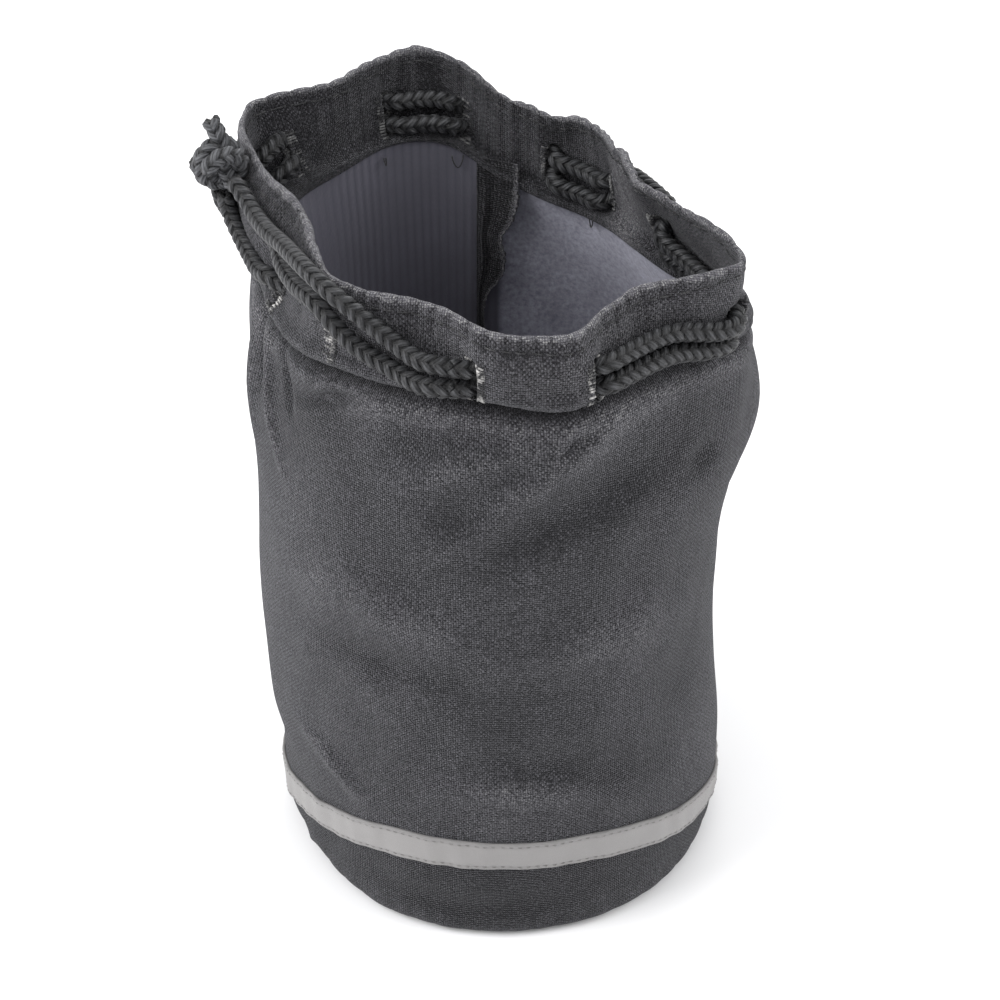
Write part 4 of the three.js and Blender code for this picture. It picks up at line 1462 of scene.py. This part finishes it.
# How far below the seam it is held flat, and over what height it comes free
FLAP_HELD = 3 * MM
FLAP_FREED = 7 * MM
# Its width at heights from the foot, both in millimetres
FLAP_HEIGHTS = [14, 30, 46, 62, 78, 92, 104, 113, 119, 124, 129, 134, 139]
FLAP_WIDTHS = [4, 5, 3.6, 5.5, 4.2, 5.6, 1.8, 2.2, 6.2, 6.8, 6.0, 8.8, 10.4]


def make_flap():
    """The seam allowance, lying over from its root, with its thick frayed edge."""
    z = np.linspace(FLAP_FOOT, seam_z(FLAP_ROOT) - FLAP_TOP_GAP, FLAP_ROWS)[:, None]
    across = np.linspace(0, 1, FLAP_ACROSS)
    reach = np.concatenate([across, across[::-1]])
    front = np.concatenate([np.ones(FLAP_ACROSS), np.zeros(FLAP_ACROSS)])
    fray = waves(0, z, *FRAY_WAVES)
    run = reach * (through(FLAP_HEIGHTS, FLAP_WIDTHS, z / MM) * MM + fray)
    angle = FLAP_ROOT - np.degrees(run / (BODY_RADIUS - WALL))
    ripple = waves(reach * TURN, z, *FLAP_WAVES)
    lift = GAP + FLAP_LIFT * reach ** 1.5 + np.abs(ripple) * np.sin(math.pi * reach) * 0.9
    lift = lift + FLAP_BEND * bell(reach - 0.2, 0.1)
    free = smooth((seam_z(FLAP_ROOT) - FLAP_HELD - z) / FLAP_FREED)
    lift = lift * mix(0.15, 1, free)
    frayed = smooth((reach - 0.8) / 0.15)
    thick = FLAP_THICKNESS * (0.75 + 0.7 * frayed) * mix(0.4, 1, free)
    radius = body_radius(angle, z) - WALL - lift - front * thick
    points = place(angle, radius, z)
    faces, row, column = grid(FLAP_ROWS, len(reach))
    uv = np.stack([reach[column % len(reach)] * FLAP_CLOTH, z[row, 0]], -1)
    caps = end_caps(FLAP_ROWS, len(reach))
    wear_and_painted_light = np.broadcast_to(1.3 * frayed - 0.35, radius.shape)
    make("seam_allowance", points, faces, facing_cloth, uv, {"wear_and_painted_light": wear_and_painted_light}, caps, slot="lining",
         stands_for=["lining_seam_flap"])


make_flap()

# Loose ends of thread inside: angle, and distance below the seam, width and drop in millimetres
LOOSE_THREADS = [(192.5, 2.2, 3.0, 2.8), (146.5, 2.4, 1.2, 2.0), (213, 2.4, 0.6, 1.6)]
LOOSE_HALF = 0.16 * MM
LOOSE_GAP = 0.9 * MM
LOOSE_BOW = 0.5 * MM


def make_loose_threads():
    tubes = Tubes()
    for angle, below, width, drop in LOOSE_THREADS:
        t = np.linspace(0, 1, 14)
        turned = angle + degrees_along((t - 0.5) * width * MM)
        z = seam_z(angle) - (below + drop * np.sin(math.pi * t) ** 0.6) * MM
        radius = body_radius(angle, z) - WALL - LOOSE_GAP - LOOSE_BOW * np.sin(math.pi * t)
        tubes.add(place(turned, radius, z), radial(turned), LOOSE_HALF, LOOSE_HALF)
    tubes.make("loose_threads", dark_thread, slot="thread")


make_loose_threads()

# Floor and light: each light's place, the height it faces, its size and its power
FLOOR_SIZE = 6
FLOOR_COLOR = (0.93, 0.93, 0.94)
LIGHTS = {
    "key": ((-1.35, -0.35, 1.1), 0.08, 1.3, 27),
    "fill": ((1.3, -0.1, 0.8), 0.08, 1.2, 10),
    "back": ((0.3, 1.2, 1.1), 0.1, 1.0, 6),
}
WORLD_POWER = 0.92


def make_floor():
    bpy.ops.mesh.primitive_plane_add(size=FLOOR_SIZE, location=(0, 0, 0))
    floor = bpy.context.object
    floor.name = "floor"
    pale = Finish("floor").surface(Base_Color=FLOOR_COLOR, Roughness=0.9)
    floor.data.materials.append(pale)


def make_light(name, place_at, facing, size, power):
    data = bpy.data.lights.new(name, "AREA")
    data.shape = "DISK"
    data.size = size
    data.energy = power
    light = bpy.data.objects.new(name, data)
    light.location = place_at
    towards = Vector((0, 0, facing)) - Vector(place_at)
    light.rotation_euler = towards.to_track_quat("-Z", "Y").to_euler()
    bpy.context.scene.collection.objects.link(light)


make_floor()
for name, facts in LIGHTS.items():
    make_light(name, *facts)
bpy.context.scene.view_settings.view_transform = "Standard"
world = bpy.data.worlds.new("studio")
world.use_nodes = True
background = world.node_tree.nodes["Background"]
background.inputs["Color"].default_value = (1, 1, 1, 1)
background.inputs["Strength"].default_value = WORLD_POWER
bpy.context.scene.world = world
